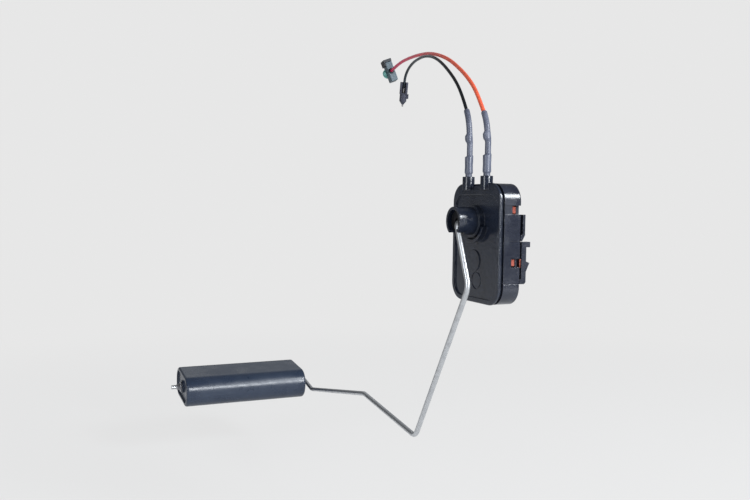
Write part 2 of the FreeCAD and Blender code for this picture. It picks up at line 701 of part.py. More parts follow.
def rear_case():
    """Moulded case: windows, card posts, mounting rail and two snap tongues."""
    body = new_body("rear_case")
    shell = cover_outline(dim.case_inset)
    add(body, "shell", "y", SEAM, CASE_REAR, shell)
    soften(body, "rear_rounding", dim.case_edge, lambda edge: lies_at(edge, "y", CASE_REAR))
    cut(body, "cavity", "y", SEAM, CAVITY_REAR, cover_outline(dim.case_inset + dim.case_wall))

    def posts(drawing):
        for side in (-1, 1):
            across = dim.pillar_spacing / 2 * side
            drawing.circle(across, dim.card_top - dim.pillar_margin, dim.pillar_radius)
            drawing.circle(across, CARD_FOOT + dim.pillar_margin, dim.pillar_radius)
    add(body, "card_posts", "y", CARD_REAR, CAVITY_REAR, posts)

    half = CASE_SIDE
    rail_foot = dim.rail_top - dim.rail_height
    ramp_foot = rail_foot - dim.rail_ramp

    def rail(drawing):
        drawing.polygon([
            (CASE_REAR, ramp_foot), (CASE_REAR + dim.rail_toe, ramp_foot), (ZERO, rail_foot),
            (ZERO, dim.rail_top), (CASE_REAR, dim.rail_top),
        ])
    add(body, "rail", "x", -half, half, rail)

    window_top = dim.rail_top + dim.window_height
    lower_top = -dim.lower_window_drop
    lower_foot = lower_top - dim.window_height
    side_face = half - dim.side_recess
    outside = half + dim.cut_over
    band_front = SEAM + dim.recess_front
    window_front = FRONT + dim.window_front
    sunk = [
        cut(body, "side_bands", "x", side_face, outside, lambda drawing: (
            drawing.box(band_front, dim.rail_top, CASE_REAR, window_top),
            drawing.box(band_front, -dim.recess_foot, CASE_REAR, ramp_foot))),
        cut(body, "side_windows", "x", half - dim.window_depth, outside, lambda drawing: (
            drawing.box(window_front, dim.rail_top, CASE_REAR, window_top),
            drawing.box(window_front, lower_foot, CASE_REAR, lower_top))),
        cut(body, "rail_undercut", "x", half - dim.neck_inset, outside, lambda drawing:
            drawing.box(CASE_REAR, rail_foot, CASE_REAR + dim.neck_height,
                        dim.rail_top + dim.cut_over)),
    ]
    mirror(body, "other_side", sunk)

    foot = LATCH_TOP - dim.latch_length
    tooth_top = LATCH_TOP - dim.tooth_drop
    tooth_tip = LATCH_REAR + dim.tooth_reach
    tab_tip = LATCH_REAR + dim.tab_reach

    def latch(drawing):
        drawing.polygon([
            (CASE_REAR, foot), (LATCH_REAR - dim.latch_bevel, foot),
            (LATCH_REAR, foot + dim.latch_bevel),
            (LATCH_REAR, tooth_top - dim.tooth_height), (tooth_tip, tooth_top - dim.tooth_lip),
            (LATCH_REAR, tooth_top), (LATCH_REAR, LATCH_TOP - dim.tab_height),
            (tab_tip, LATCH_TOP - dim.tab_height), (tab_tip, LATCH_TOP),
            (LATCH_FRONT, LATCH_TOP), (LATCH_FRONT, foot + dim.latch_root),
            (CASE_REAR, foot + dim.latch_root),
        ])
    outer = half - dim.latch_inset
    tongue = add(body, "snap_tongue", "x", outer - dim.latch_width, outer, latch)
    mirror(body, "other_tongue", [tongue])
    return body


def terminal(name, side):
    """Sheet-metal terminal: round post in the boss, leg in the cover, finger on the card."""
    body = new_body(name)
    half = dim.strip_width / 2
    top = COVER_TOP - dim.strip_lap
    foot = COVER_TOP - dim.strip_foot
    leg_front = FRONT + dim.strip_setback
    add(body, "post", "z", top - dim.strip_lap, BOSS_TOP + dim.post_rise,
        lambda drawing: drawing.circle(ZERO, BOSS_DEPTH, dim.post_radius))
    add(body, "leg", "y", leg_front, leg_front + dim.strip_thick,
        lambda drawing: drawing.box(-half, foot, half, top))
    touch = TRACK_FRONT - dim.contact_gap
    add(body, "shelf", "y", leg_front, touch,
        lambda drawing: drawing.box(-half, foot, half, foot + dim.strip_thick))
    add(body, "finger", "y", touch - dim.strip_thick, touch,
        lambda drawing: drawing.box(-half, foot - dim.finger_length, half, foot + dim.strip_thick))
    rear = leg_front + dim.strip_thick

    def trim(drawing):
        drawing.box(-half, top - dim.strip_lap * 2, half, top)
    cut(body, "post_face", "y", FRONT - dim.post_radius, leg_front, trim)
    require(rear.value < SEAM.value, name)
    place(body, x=dim.boss_spacing / 2 * side)
    return body


def resistor_card():
    """Ceramic card with cut corners."""
    body = new_body("resistor_card")
    half = CARD_SIDE
    nick = dim.card_corner
    foot, top = CARD_FOOT, dim.card_top
    add(body, "plate", "y", CARD_FRONT, CARD_REAR, lambda drawing: drawing.polygon([
        (-half + nick, foot), (half - nick, foot), (half, foot + nick), (half, top - nick),
        (half - nick, top), (-half + nick, top), (-half, top - nick), (-half, foot + nick),
    ]))
    return body


def card_tracks():
    """Printed tracks and pads, a thin layer on the card's front."""
    start = dim.wiper_angle.value - dim.arm_travel.value - dim.track_margin.value
    end = dim.wiper_angle.value + dim.track_margin.value
    lift, thick = TRACK_FRONT, dim.track_thick
    groups = []
    pad_top = dim.card_top.value - dim.pad_drop.value
    pad_foot = pad_top - dim.pad_size.value
    line = dim.link_width.value
    reach = dim.link_reach.value
    for side, radius, angle in ((1, dim.track_outer_radius, end), (-1, dim.track_inner_radius, start)):
        track = band(radius, dim.track_width, start, end, lift, thick)
        bearing = math.radians(angle)
        tip_x = abs(radius.value * math.cos(bearing))
        tip_z = radius.value * math.sin(bearing)
        pad_x = dim.boss_spacing.value / 2
        strips = [
            (tip_x - line / 2, reach, tip_z - line / 2, tip_z + line / 2),
            (reach - line, reach, tip_z - line / 2, pad_top),
            (pad_x - dim.pad_size.value / 2, reach, pad_top - line, pad_top),
            (pad_x - dim.pad_size.value / 2, pad_x + dim.pad_size.value / 2, pad_foot, pad_top),
        ]
        for near, far, low, high in strips:
            left = near if side > 0 else -far
            box = Part.makeBox(far - near, thick.value, high - low, Vector(left, lift.value, low))
            track = track.fuse(box)
        groups.append(track.removeSplitter())
    feature = doc.addObject("Part::Feature", "card_tracks")
    feature.Label = "card_tracks"
    feature.Shape = Part.makeCompound(groups)
    return feature


def card_clip(name, middle):
    """Spring strip that hooks the card to the case at both sides."""
    body = new_body(name)
    edge = CARD_SIDE + dim.clip_gap
    sheet_metal = dim.clip_sheet
    hook = edge - dim.clip_hook
    front = CARD_FRONT - dim.contact_gap
    back = CARD_REAR + dim.contact_gap
    rest = CAVITY_REAR - dim.contact_gap
    outer = edge + sheet_metal
    add(body, "strip", "z", -dim.clip_height / 2, dim.clip_height / 2, lambda drawing: drawing.polygon([
        (-hook, front), (-hook, front - sheet_metal), (-outer, front - sheet_metal), (-outer, rest),
        (-edge, rest), (-edge, back + sheet_metal), (edge, back + sheet_metal), (edge, rest),
        (outer, rest), (outer, front - sheet_metal), (hook, front - sheet_metal), (hook, front),
        (edge, front), (edge, back), (-edge, back), (-edge, front),
    ]))
    place(body, z=middle)
    return body


def arm_hub():
    """Turned hub: head with a groove for the arm, journal, clip groove and wiper stud."""
    body = new_body("arm_hub")
    front = FRONT - dim.head_front
    shoulder = FRONT - dim.collar_height - dim.end_play
    tail = FRONT + dim.hub_tail
    stud = tail + dim.stud_length
    clip_front = SEAM + dim.contact_gap + dim.washer_thick + dim.contact_gap
    clip_rear = clip_front + dim.clip_thick + dim.contact_gap
    waist = dim.journal_radius - dim.clip_bite
    turn(body, "blank", lambda drawing: drawing.polygon([
        (ZERO, front), (dim.head_radius, front), (dim.head_radius, shoulder),
        (dim.journal_radius, shoulder), (dim.journal_radius, clip_front), (waist, clip_front),
        (waist, clip_rear), (dim.journal_radius, clip_rear), (dim.journal_radius, tail),
        (dim.stud_radius, tail), (dim.stud_radius, stud), (ZERO, stud),
    ]))
    wide = WIRE_RADIUS + dim.wire_fit
    cut(body, "wire_bore", "y", front, FRONT + dim.wire_tail,
        lambda drawing: drawing.circle(ZERO, ZERO, wide))
    along = (cosine(dim.leg1_heading), sine(dim.leg1_heading))
    side = (-along[1], along[0])
    far = dim.slot_reach

    def groove(drawing):
        drawing.polygon([
            (side[0] * wide, side[1] * wide), (-(side[0] * wide), -(side[1] * wide)),
            (along[0] * far - side[0] * wide, along[1] * far - side[1] * wide),
            (along[0] * far + side[0] * wide, along[1] * far + side[1] * wide),
        ])
    cut(body, "arm_groove", "y", front, front + dim.slot_depth, groove)
    return body


def ring_piece(name, inner, outer, start, end):
    """A flat ring about the Y axis, made of two cylinders."""
    cylinders = []
    for part_name, radius in ((f"{name}_disc", outer), (f"{name}_hole", inner)):
        cylinder = doc.addObject("Part::Cylinder", part_name)
        bind(cylinder, "Radius", radius)
        bind(cylinder, "Height", end - start)
        cylinder.Placement.Rotation = Rotation(Vector(1, 0, 0), -90)
        place(cylinder, y=start)
        cylinders.append(cylinder)
    ring = doc.addObject("Part::Cut", name)
    ring.Label = name
    ring.Base, ring.Tool = cylinders
    return ring


def thrust_washer():
    """Thin washer between the cover and the hub clip."""
    start = SEAM + dim.contact_gap
    return ring_piece("thrust_washer", dim.journal_radius + dim.running_gap, dim.washer_radius,
                      start, start + dim.washer_thick)


def hub_clip():
    """Open spring clip in the hub's groove."""
    body = new_body("hub_clip")
    start = SEAM + dim.contact_gap * 2 + dim.washer_thick + dim.contact_gap / 2
    inner = dim.journal_radius - dim.clip_bite + dim.running_gap

    def disc(drawing):
        drawing.circle(ZERO, ZERO, dim.clip_radius)
        drawing.circle(ZERO, ZERO, inner)
    add(body, "ring", "y", start, start + dim.clip_thick, disc)
    half = dim.clip_mouth / 2
    cut(body, "mouth", "y", start, start + dim.clip_thick,
        lambda drawing: drawing.box(-half, ZERO, half, dim.clip_radius * 2))
    return body


def wiper_places():
    """Where the two contact buttons sit, as pairs of sizes."""
    along = (cosine(dim.wiper_angle), sine(dim.wiper_angle))
    side = (-along[1], along[0])
    places = []
    for sense, radius in ((1, dim.track_outer_radius), (-1, dim.track_inner_radius)):
        shift = dim.wiper_pitch / 2 * sense
        places.append((along[0] * radius + side[0] * shift, along[1] * radius + side[1] * shift))
    return along, side, places


def wiper():
    """Spring sheet with a ring round the stud and two arms."""
    body = new_body("wiper")
    start = FRONT + dim.hub_tail + dim.contact_gap
    end = start + dim.wiper_sheet
    along, side, places = wiper_places()
    add(body, "ring", "y", start, end, lambda drawing: drawing.circle(ZERO, ZERO, dim.wiper_ring))
    half = dim.wiper_arm / 2
    for index, (sense, radius) in enumerate(((1, dim.track_outer_radius), (-1, dim.track_inner_radius))):
        middle = dim.wiper_pitch / 2 * sense
        tip = radius + dim.wiper_arm
        root = dim.stud_radius + dim.running_gap
        corners = []
        for reach, shift in ((root, middle - half), (tip, middle - half), (tip, middle + half),
                             (root, middle + half)):
            corners.append((along[0] * reach + side[0] * shift, along[1] * reach + side[1] * shift))
        add(body, f"arm_{index}", "y", start, end, lambda drawing, points=corners: drawing.polygon(points))
    cut(body, "stud_hole", "y", start, end,
        lambda drawing: drawing.circle(ZERO, ZERO, dim.stud_radius + dim.running_gap))
    return body


def wiper_contacts():
    """Two contact buttons between the wiper's arms and the tracks."""
    start = FRONT + dim.hub_tail + dim.contact_gap + dim.wiper_sheet
    end = TRACK_FRONT - dim.contact_gap
    buttons = []
    for index, (across, up) in enumerate(wiper_places()[2]):
        button = doc.addObject("Part::Cylinder", f"button_{index}")
        bind(button, "Radius", dim.button_radius)
        bind(button, "Height", end - start)
        button.Placement.Rotation = Rotation(Vector(1, 0, 0), -90)
        place(button, x=across, y=start, z=up)
        buttons.append(button)
    pair = doc.addObject("Part::MultiFuse", "wiper_contacts")
    pair.Label = "wiper_contacts"
    pair.Shapes = buttons
    return pair


def bent_tube(points, radii, diameter):
    """Round bar along straight runs joined by tangent arcs, and its path's length."""
    edges = []
    start = points[0]
    for before, corner, after, radius in zip(points, points[1:], points[2:], radii):
        back = (before - corner).normalize()
        ahead = (after - corner).normalize()
        opening = back.getAngle(ahead)
        reach = radius / math.tan(opening / 2)
        entry = corner + back * reach
        leave = corner + ahead * reach
        bisector = (back + ahead).normalize()
        middle = corner + bisector * (radius / math.sin(opening / 2) - radius)
        edges.append(Part.LineSegment(start, entry).toShape())
        edges.append(Part.Arc(entry, middle, leave).toShape())
        start = leave
    edges.append(Part.LineSegment(start, points[-1]).toShape())
    path = Part.Wire(edges)
    heading = points[1] - points[0]
    section = Part.Wire(Part.Circle(points[0], heading, diameter / 2).toShape())
    tube = path.makePipeShell([section], True, True)
    expected = path.Length * math.pi * diameter ** 2 / 4
    require(tube.isValid() and abs(tube.Volume / expected - 1) < 0.01, "bent tube")
    return tube, path.Length


def float_arm():
    """Steel wire: out of the hub, through its bends, and along the float's axis."""
    plane = WIRE_PLANE.value
    tip = RETAINER_NEAR - dim.retainer_length - dim.pin_reach
    tail = FRONT + dim.wire_tail - dim.contact_gap
    points = [Vector(0, tail.value, 0), Vector(0, plane, 0)]
    points += [Vector(across.value, plane, up.value) for across, up in ARM_BENDS]
    points.append(Vector(FLOAT_ACROSS.value, tip.value, FLOAT_UP.value))
    elbows = [dim.elbow_bend.value] * (len(ARM_BENDS) - 1)
    radii = [dim.root_bend.value] + elbows + [dim.float_bend.value]
    feature = doc.addObject("Part::Feature", "float_arm")
    feature.Label = "float_arm"
    feature.Shape, length = bent_tube(points, radii, dim.wire_diameter.value)
    print(f"float arm: {length:.1f} mm of wire, float's axis at", points[-1])
    return feature


def level_float():
    """Moulded float: a rounded slab with sunk ends and a bore for the wire."""
    body = new_body("float")
    half, thick = dim.float_width / 2, dim.float_depth / 2

    def outline(inset):
        return lambda drawing: drawing.round_box(
            -half + inset, -thick + inset, half - inset, thick - inset, dim.float_corner - inset)
    add(body, "slab", "y", FLOAT_FAR, FLOAT_NEAR, outline(ZERO))
    soften(body, "end_rounding", dim.float_edge,
           lambda edge: lies_at(edge, "y", FLOAT_FAR) or lies_at(edge, "y", FLOAT_NEAR))

    def field(drawing):
        outline(dim.end_margin)(drawing)
        drawing.circle(ZERO, ZERO, dim.end_boss)
    cut(body, "far_field", "y", FLOAT_FAR, FLOAT_FAR + dim.end_recess, field)
    cut(body, "near_field", "y", FLOAT_NEAR - dim.end_recess, FLOAT_NEAR, field)
    cut(body, "bore", "y", FLOAT_FAR, FLOAT_NEAR,
        lambda drawing: drawing.circle(ZERO, ZERO, WIRE_RADIUS + dim.float_bore_gap))
    body.Placement.Rotation = Rotation(Vector(0, 1, 0), dim.float_tilt.value)
    bind(body, "Placement.Rotation.Angle", dim.float_tilt)
    place(body, x=FLOAT_ACROSS, z=FLOAT_UP)
    return body


def float_retainer():
    """Push-on retainer: a flange and a collar on the wire's end."""
    body = new_body("float_retainer")
    near = RETAINER_NEAR
    grip = WIRE_RADIUS + dim.wire_fit
    sheet_end = near - dim.retainer_sheet
    turn(body, "cap", lambda drawing: drawing.polygon([
        (grip, near), (dim.retainer_flange, near), (dim.retainer_flange, sheet_end),
        (dim.retainer_collar, sheet_end - dim.retainer_flare),
        (dim.retainer_collar, near - dim.retainer_length), (grip, near - dim.retainer_length),
    ]))
    place(body, x=FLOAT_ACROSS, z=FLOAT_UP)
    return body


def sleeve(name, side, start, radius, angle, bore):
    """Shrunk sleeve over a terminal post and a lead's end, bent towards its top."""
    body = new_body(name)
    neck_end = dim.neck_length
    wide_end = neck_end + dim.shoulder_length + dim.wide_length
    slim_start = wide_end + dim.shoulder_length
    turn(body, "trunk", lambda drawing: drawing.polygon([
        (ZERO, ZERO), (dim.sleeve_neck, ZERO), (dim.sleeve_neck, neck_end),
        (dim.sleeve_wide, neck_end + dim.shoulder_length), (dim.sleeve_wide, wide_end),
        (dim.sleeve_slim, slim_start), (dim.sleeve_slim, start), (ZERO, start),
    ]), upright=True)
    before = solid_volume(body)
    section = Drawing(body, "bend_section", "z", start)
    bind(section.sketch, "AttachmentOffset.Base.x", -radius)
    section.circle(radius, ZERO, dim.sleeve_slim)
    bend = body.newObject("PartDesign::Revolution", "bend")
    bend.Profile = section.sketch
    bend.ReferenceAxis = (section.sketch, ["V_Axis"])
    bind(bend, "Angle", angle)
    bend.Reversed = True
    require(solid_volume(body) > before, name)
    reach = start.value + radius.value * math.sin(math.radians(angle.value))
    require(body.Shape.BoundBox.ZMax > reach, name)
    before = solid_volume(body)
    bulge = body.newObject("PartDesign::AdditiveEllipsoid", "bulge")
    plane = next(item for item in body.Origin.OriginFeatures if item.Role == "XY_Plane")
    bulge.AttachmentSupport = [(plane, "")]
    bulge.MapMode = "FlatFace"
    bind(bulge, "Radius1", dim.bulge_length / 2)
    bind(bulge, "Radius2", dim.bulge_radius)
    bind(bulge, "Radius3", dim.bulge_radius)
    bind(bulge, "AttachmentOffset.Base.y", -dim.bulge_shift)
    bind(bulge, "AttachmentOffset.Base.z", dim.bulge_height)
    require(solid_volume(body) > before, name)
    cut(body, "post_bore", "z", ZERO, bore, lambda hole: hole.circle(
        ZERO, ZERO, dim.crimp_radius + dim.insert_gap))
    body.Placement.Rotation = Rotation(Vector(0, 0, 1), -dim.lead_bearing.value)
    bind(body, "Placement.Rotation.Angle", -dim.lead_bearing)
    place(body, x=dim.boss_spacing / 2 * side, y=BOSS_DEPTH, z=BOSS_TOP)
    return body


def crimp(name, side):
    """Crimp barrel on a terminal post, inside its sleeve."""
    start = BOSS_TOP + dim.crimp_start
    cylinders = []
    for part_name, radius in ((f"{name}_barrel", dim.crimp_radius),
                              (f"{name}_hole", dim.post_radius + dim.insert_gap)):
        cylinder = doc.addObject("Part::Cylinder", part_name)
        bind(cylinder, "Radius", radius)
        bind(cylinder, "Height", dim.crimp_length)
        place(cylinder, x=dim.boss_spacing / 2 * side, y=BOSS_DEPTH, z=start)
        cylinders.append(cylinder)
    barrel = doc.addObject("Part::Cut", name)
    barrel.Label = name
    barrel.Base, barrel.Tool = cylinders
    return barrel


def lead_route(side, start, radius, angle, run, route):
    """Points of a lead from its sleeve's mouth, straight on at first, to its connector."""
    bearing = math.radians(dim.lead_bearing.value)
    turned = math.radians(angle.value)
    mouth = (radius.value * (1 - math.cos(turned)),
             BOSS_TOP.value + start.value + radius.value * math.sin(turned))
    first = (mouth[0] + run.value * math.sin(turned), mouth[1] + run.value * math.cos(turned))
    root = Vector(dim.boss_spacing.value / 2 * side, BOSS_DEPTH.value, 0)
    heading = Vector(-math.cos(bearing), math.sin(bearing), 0)
    return [root + heading * reach + Vector(0, 0, rise) for reach, rise in [mouth, first] + route]


def lead(name, points, diameter):
    """Insulated lead: each bend as large as its two runs allow."""
    radii = []
    for before, corner, after in zip(points, points[1:], points[2:]):
        shorter = min((corner - before).Length, (after - corner).Length)
        turned = math.pi - (before - corner).getAngle(after - corner)
        radii.append(0.45 * shorter / math.tan(turned / 2))
    feature = doc.addObject("Part::Feature", name)
    feature.Label = name
    feature.Shape, length = bent_tube(points, radii, diameter.value)
    print(f"{name}: {length:.1f} mm long, bend radii", [round(radius, 1) for radius in radii])
    return feature


def end_placement(points, lean):
    """Placement whose -Z runs on from a lead's last run, turned about it by lean."""
    ahead = (points[-1] - points[-2]).normalize()
    turned = Rotation(Vector(0, 0, -1), ahead)
    return Placement(points[-1], turned.multiply(Rotation(Vector(0, 0, 1), lean)))


def black_connector(points):
    """Slim connector: open channel for the crimped lead, round half with a cone, side lug."""
    body = new_body("black_connector")
    wide, deep = dim.plug_width / 2, dim.plug_depth / 2
    channel = dim.plug_channel / 2
    head_foot = -dim.plug_head / 2
    entry = dim.plug_head / 2
    add(body, "head", "z", head_foot, entry,
        lambda drawing: drawing.round_box(-wide, -deep, wide, deep, dim.plug_corner))
    turn(body, "nose", lambda drawing: drawing.polygon([
        (ZERO, head_foot), (dim.plug_nose_radius, head_foot),
        (dim.plug_nose_radius, head_foot - dim.plug_barrel), (dim.plug_tip_radius, PLUG_TIP),
        (ZERO, PLUG_TIP),
    ]), upright=True)
    half = dim.plug_lug_width / 2
    add(body, "lug", "z", head_foot - dim.plug_lug_height, head_foot,
        lambda drawing: drawing.box(ZERO, -half, dim.plug_lug_reach, half))
    cut(body, "channel", "z", PLUG_FLOOR, entry,
        lambda drawing: drawing.box(-channel, -deep * 2, channel, channel))
    cut(body, "pin_hole", "z", PLUG_TIP, PLUG_FLOOR,
        lambda drawing: drawing.circle(ZERO, ZERO, dim.plug_pin_radius + dim.insert_gap))
    body.Placement = end_placement(points, dim.plug_turn.value)
    return body


def black_contact(points):
    """Contact of the black connector: pin and crimp barrel."""
    body = new_body("black_contact")
    tip = PLUG_TIP - dim.plug_pin_reach
    add(body, "pin", "z", tip, PLUG_FLOOR + dim.contact_gap,
        lambda drawing: drawing.circle(ZERO, ZERO, dim.plug_pin_radius))
    soften(body, "tip", dim.plug_pin_radius / 2, lambda edge: lies_at(edge, "z", tip), kind="Chamfer")
    add(body, "crimp_barrel", "z", PLUG_FLOOR + dim.contact_gap, -dim.contact_gap,
        lambda drawing: drawing.circle(ZERO, ZERO, dim.plug_crimp_radius))
    body.Placement = end_placement(points, dim.plug_turn.value)
    return body


def red_connector(points):
    """Block connector with the lead entering its face, a lock cap and a round seal behind."""
    placement = Placement(points[-1], tall_rotation(points))
    half = dim.block_wide / 2
    top = dim.block_entry
    foot = top - dim.block_tall
    rear = -dim.block_deep

    block = new_body("red_connector")
    add(block, "block", "z", rear, ZERO,
        lambda drawing: drawing.round_box(-half, foot, half, top, dim.block_corner))
    soften(block, "face_rounding", dim.block_corner / 2, lambda edge: lies_at(edge, "z", ZERO))
    cut(block, "seal_pocket", "z", rear, rear + dim.seal_sink,
        lambda drawing: drawing.circle(-dim.seal_shift, ZERO, dim.seal_neck + dim.insert_gap))
    block.Placement = placement

    cap = new_body("red_connector_cap")
    inside = -half - dim.contact_gap
    outside = inside - dim.cap_skirt_sheet
    below = top + dim.contact_gap
    above = top + dim.cap_height
    add(cap, "plate", "z", rear - dim.cap_lip, dim.cap_lip, lambda drawing: drawing.polygon([
        (outside, above), (outside, top - dim.cap_skirt), (inside, top - dim.cap_skirt),
        (inside, below), (half, below), (half, above),
    ]))
    cap.Placement = placement

    seal = new_body("red_connector_seal")
    behind = rear - dim.contact_gap
    end = behind - dim.seal_reach
    add(seal, "disc", "z", end, behind,
        lambda drawing: drawing.circle(-dim.seal_shift, ZERO, dim.seal_radius))
    soften(seal, "disc_rounding", dim.seal_edge, lambda edge: lies_at(edge, "z", end))
    add(seal, "neck", "z", behind, rear + dim.seal_sink - dim.contact_gap,
        lambda drawing: drawing.circle(-dim.seal_shift, ZERO, dim.seal_neck))
    seal.Placement = placement
    return [block, cap, seal]


def tall_rotation(points):
    """Rotation with local -Z along the lead's end and local +Y up, leaning to the front."""
    ahead = (points[-1] - points[-2]).normalize()
    back = ahead * -1
    lean = math.radians(dim.block_lean.value)
    across = Vector(0, 0, 1).cross(back).normalize()
    upright = back.cross(across).normalize()
    tall = upright * math.cos(lean) - across * math.sin(lean)
    return Rotation(tall.cross(back), tall, back, "ZXY")


def build():
    """Make every piece and return the objects that hold them."""
    black = lead_route(-1, dim.black_bend_start, dim.black_bend_radius, dim.black_bend_angle,
                       dim.black_exit_run, BLACK_ROUTE)
    red = lead_route(1, dim.red_bend_start, dim.red_bend_radius, dim.red_bend_angle,
                     dim.red_exit_run, RED_ROUTE)
    bore = dim.crimp_start + dim.crimp_length + dim.contact_gap
    upper = dim.rail_top + dim.window_height / 2
    lower = -dim.lower_window_drop - dim.window_height / 2
    pieces = [
        front_cover(), rear_case(), resistor_card(), card_tracks(),
        terminal("ground_terminal", -1), terminal("signal_terminal", 1),
        card_clip("card_clip_upper", upper), card_clip("card_clip_lower", lower),
        arm_hub(), thrust_washer(), hub_clip(), wiper(), wiper_contacts(), float_arm(),
        level_float(), float_retainer(),
        sleeve("sleeve_black", -1, dim.black_bend_start, dim.black_bend_radius,
               dim.black_bend_angle, bore),
        sleeve("sleeve_red", 1, dim.red_bend_start, dim.red_bend_radius, dim.red_bend_angle, bore),
        crimp("crimp_black", -1), crimp("crimp_red", 1),
        lead("lead_black", black, dim.black_lead_diameter),
        lead("lead_red", red, dim.red_lead_diameter),
        black_connector(black), black_contact(black),
    ]
    return pieces + red_connector(red)


def main():
    """Build, check and write each piece to its own file."""
    pieces = build()
    doc.recompute()
    for thing in doc.Objects:
        require("Invalid" not in thing.State and "Error" not in thing.State, thing.Label)
    os.makedirs("parts", exist_ok=True)
    for piece in pieces:
        shape = piece.Shape
        require(not shape.isNull() and shape.isValid() and shape.Solids, piece.Label)
    for piece in pieces:
        piece.Shape.exportStep(f"parts/{piece.Label}.step")
        size = piece.Shape.BoundBox
        print(f"{piece.Label}: {size.XLength:.1f} x {size.YLength:.1f} x {size.ZLength:.1f}")


main()
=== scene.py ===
"""Looks of the fuel level sensor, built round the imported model. Sizes are in millimetres or say otherwise."""
import logging
import math
from dataclasses import dataclass, field
from enum import Enum
from typing import Any, Sequence, Union

import bmesh
import bpy
from mathutils import Matrix, Vector


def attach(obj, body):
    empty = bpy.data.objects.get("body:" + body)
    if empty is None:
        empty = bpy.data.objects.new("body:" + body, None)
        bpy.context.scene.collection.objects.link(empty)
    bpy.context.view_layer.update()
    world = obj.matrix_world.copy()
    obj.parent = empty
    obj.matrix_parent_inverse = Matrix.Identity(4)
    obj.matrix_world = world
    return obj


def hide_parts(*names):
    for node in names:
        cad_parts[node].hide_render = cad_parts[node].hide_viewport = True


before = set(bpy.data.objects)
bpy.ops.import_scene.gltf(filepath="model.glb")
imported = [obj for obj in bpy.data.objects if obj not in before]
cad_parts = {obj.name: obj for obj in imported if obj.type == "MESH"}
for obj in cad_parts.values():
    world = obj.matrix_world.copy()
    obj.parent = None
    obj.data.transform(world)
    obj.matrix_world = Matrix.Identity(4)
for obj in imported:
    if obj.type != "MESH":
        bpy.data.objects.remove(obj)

logging.basicConfig(level=logging.INFO, format="%(name)s: %(message)s")
log = logging.getLogger("level_sensor")

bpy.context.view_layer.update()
MM = 0.001
Number = Union[int, float]
Colour = tuple[float, float, float]
Triple = tuple[float, float, float]


def metres(point: Sequence[Number]) -> Vector:
    """Turn a point in millimetres into one in metres.

    Args:
        point: Three numbers in millimetres.

    Returns:
        The same point in metres.
    """
    return Vector(point) * MM


class Body(Enum):
    """The groups of the sensor that the scene's own pieces move with."""

    HOUSING = "housing"
    ARM = "arm"


# Shader tools


class Value:
    """A number inside a material, on which Python's operators build Math nodes."""

    def __init__(self, recipe: "Recipe", socket: bpy.types.NodeSocket) -> None:
        """Keep the material's recipe and the socket that carries the number."""
        self.recipe = recipe
        self.socket = socket

    def _math(self, operation: str, *inputs: Union["Value", Number], clamp: bool = False) -> "Value":
        """Add one Math node.

        Args:
            operation: The node's operation.
            inputs: What its sockets get, in order.
            clamp: Whether the result stays between 0 and 1.

        Returns:
            The node's result.
        """
        settings = {"operation": operation, "use_clamp": clamp}
        return self.recipe.value("ShaderNodeMath", settings, dict(enumerate(inputs)))

    def __add__(self, other: Union["Value", Number]) -> "Value":
        """Sum."""
        return self._math("ADD", self, other)

    def __radd__(self, other: Number) -> "Value":
        """Sum with a plain number in front."""
        return self._math("ADD", other, self)

    def __sub__(self, other: Union["Value", Number]) -> "Value":
        """Difference."""
        return self._math("SUBTRACT", self, other)

    def __rsub__(self, other: Number) -> "Value":
        """Difference from a plain number."""
        return self._math("SUBTRACT", other, self)

    def __mul__(self, other: Union["Value", Number]) -> "Value":
        """Product."""
        return self._math("MULTIPLY", self, other)

    def __rmul__(self, other: Number) -> "Value":
        """Product with a plain number in front."""
        return self._math("MULTIPLY", other, self)

    def __pow__(self, other: Number) -> "Value":
        """Power."""
        return self._math("POWER", self, other)

    def clamped(self) -> "Value":
        """The number kept between 0 and 1."""
        return self._math("ADD", self, 0.0, clamp=True)

    def ramp(self, low: Number, high: Number) -> "Value":
        """Rise smoothly from 0 at one number to 1 at another.

        Args:
            low: Where the rise starts.
            high: Where it ends.

        Returns:
            A number from 0 to 1.
        """
        settings = {"interpolation_type": "SMOOTHSTEP", "clamp": True}
        inputs = {"Value": self, "From Min": low, "From Max": high}
        return self.recipe.value("ShaderNodeMapRange", settings, inputs, output="Result")


Input = Union[Value, bpy.types.NodeSocket, Number, Sequence[float]]


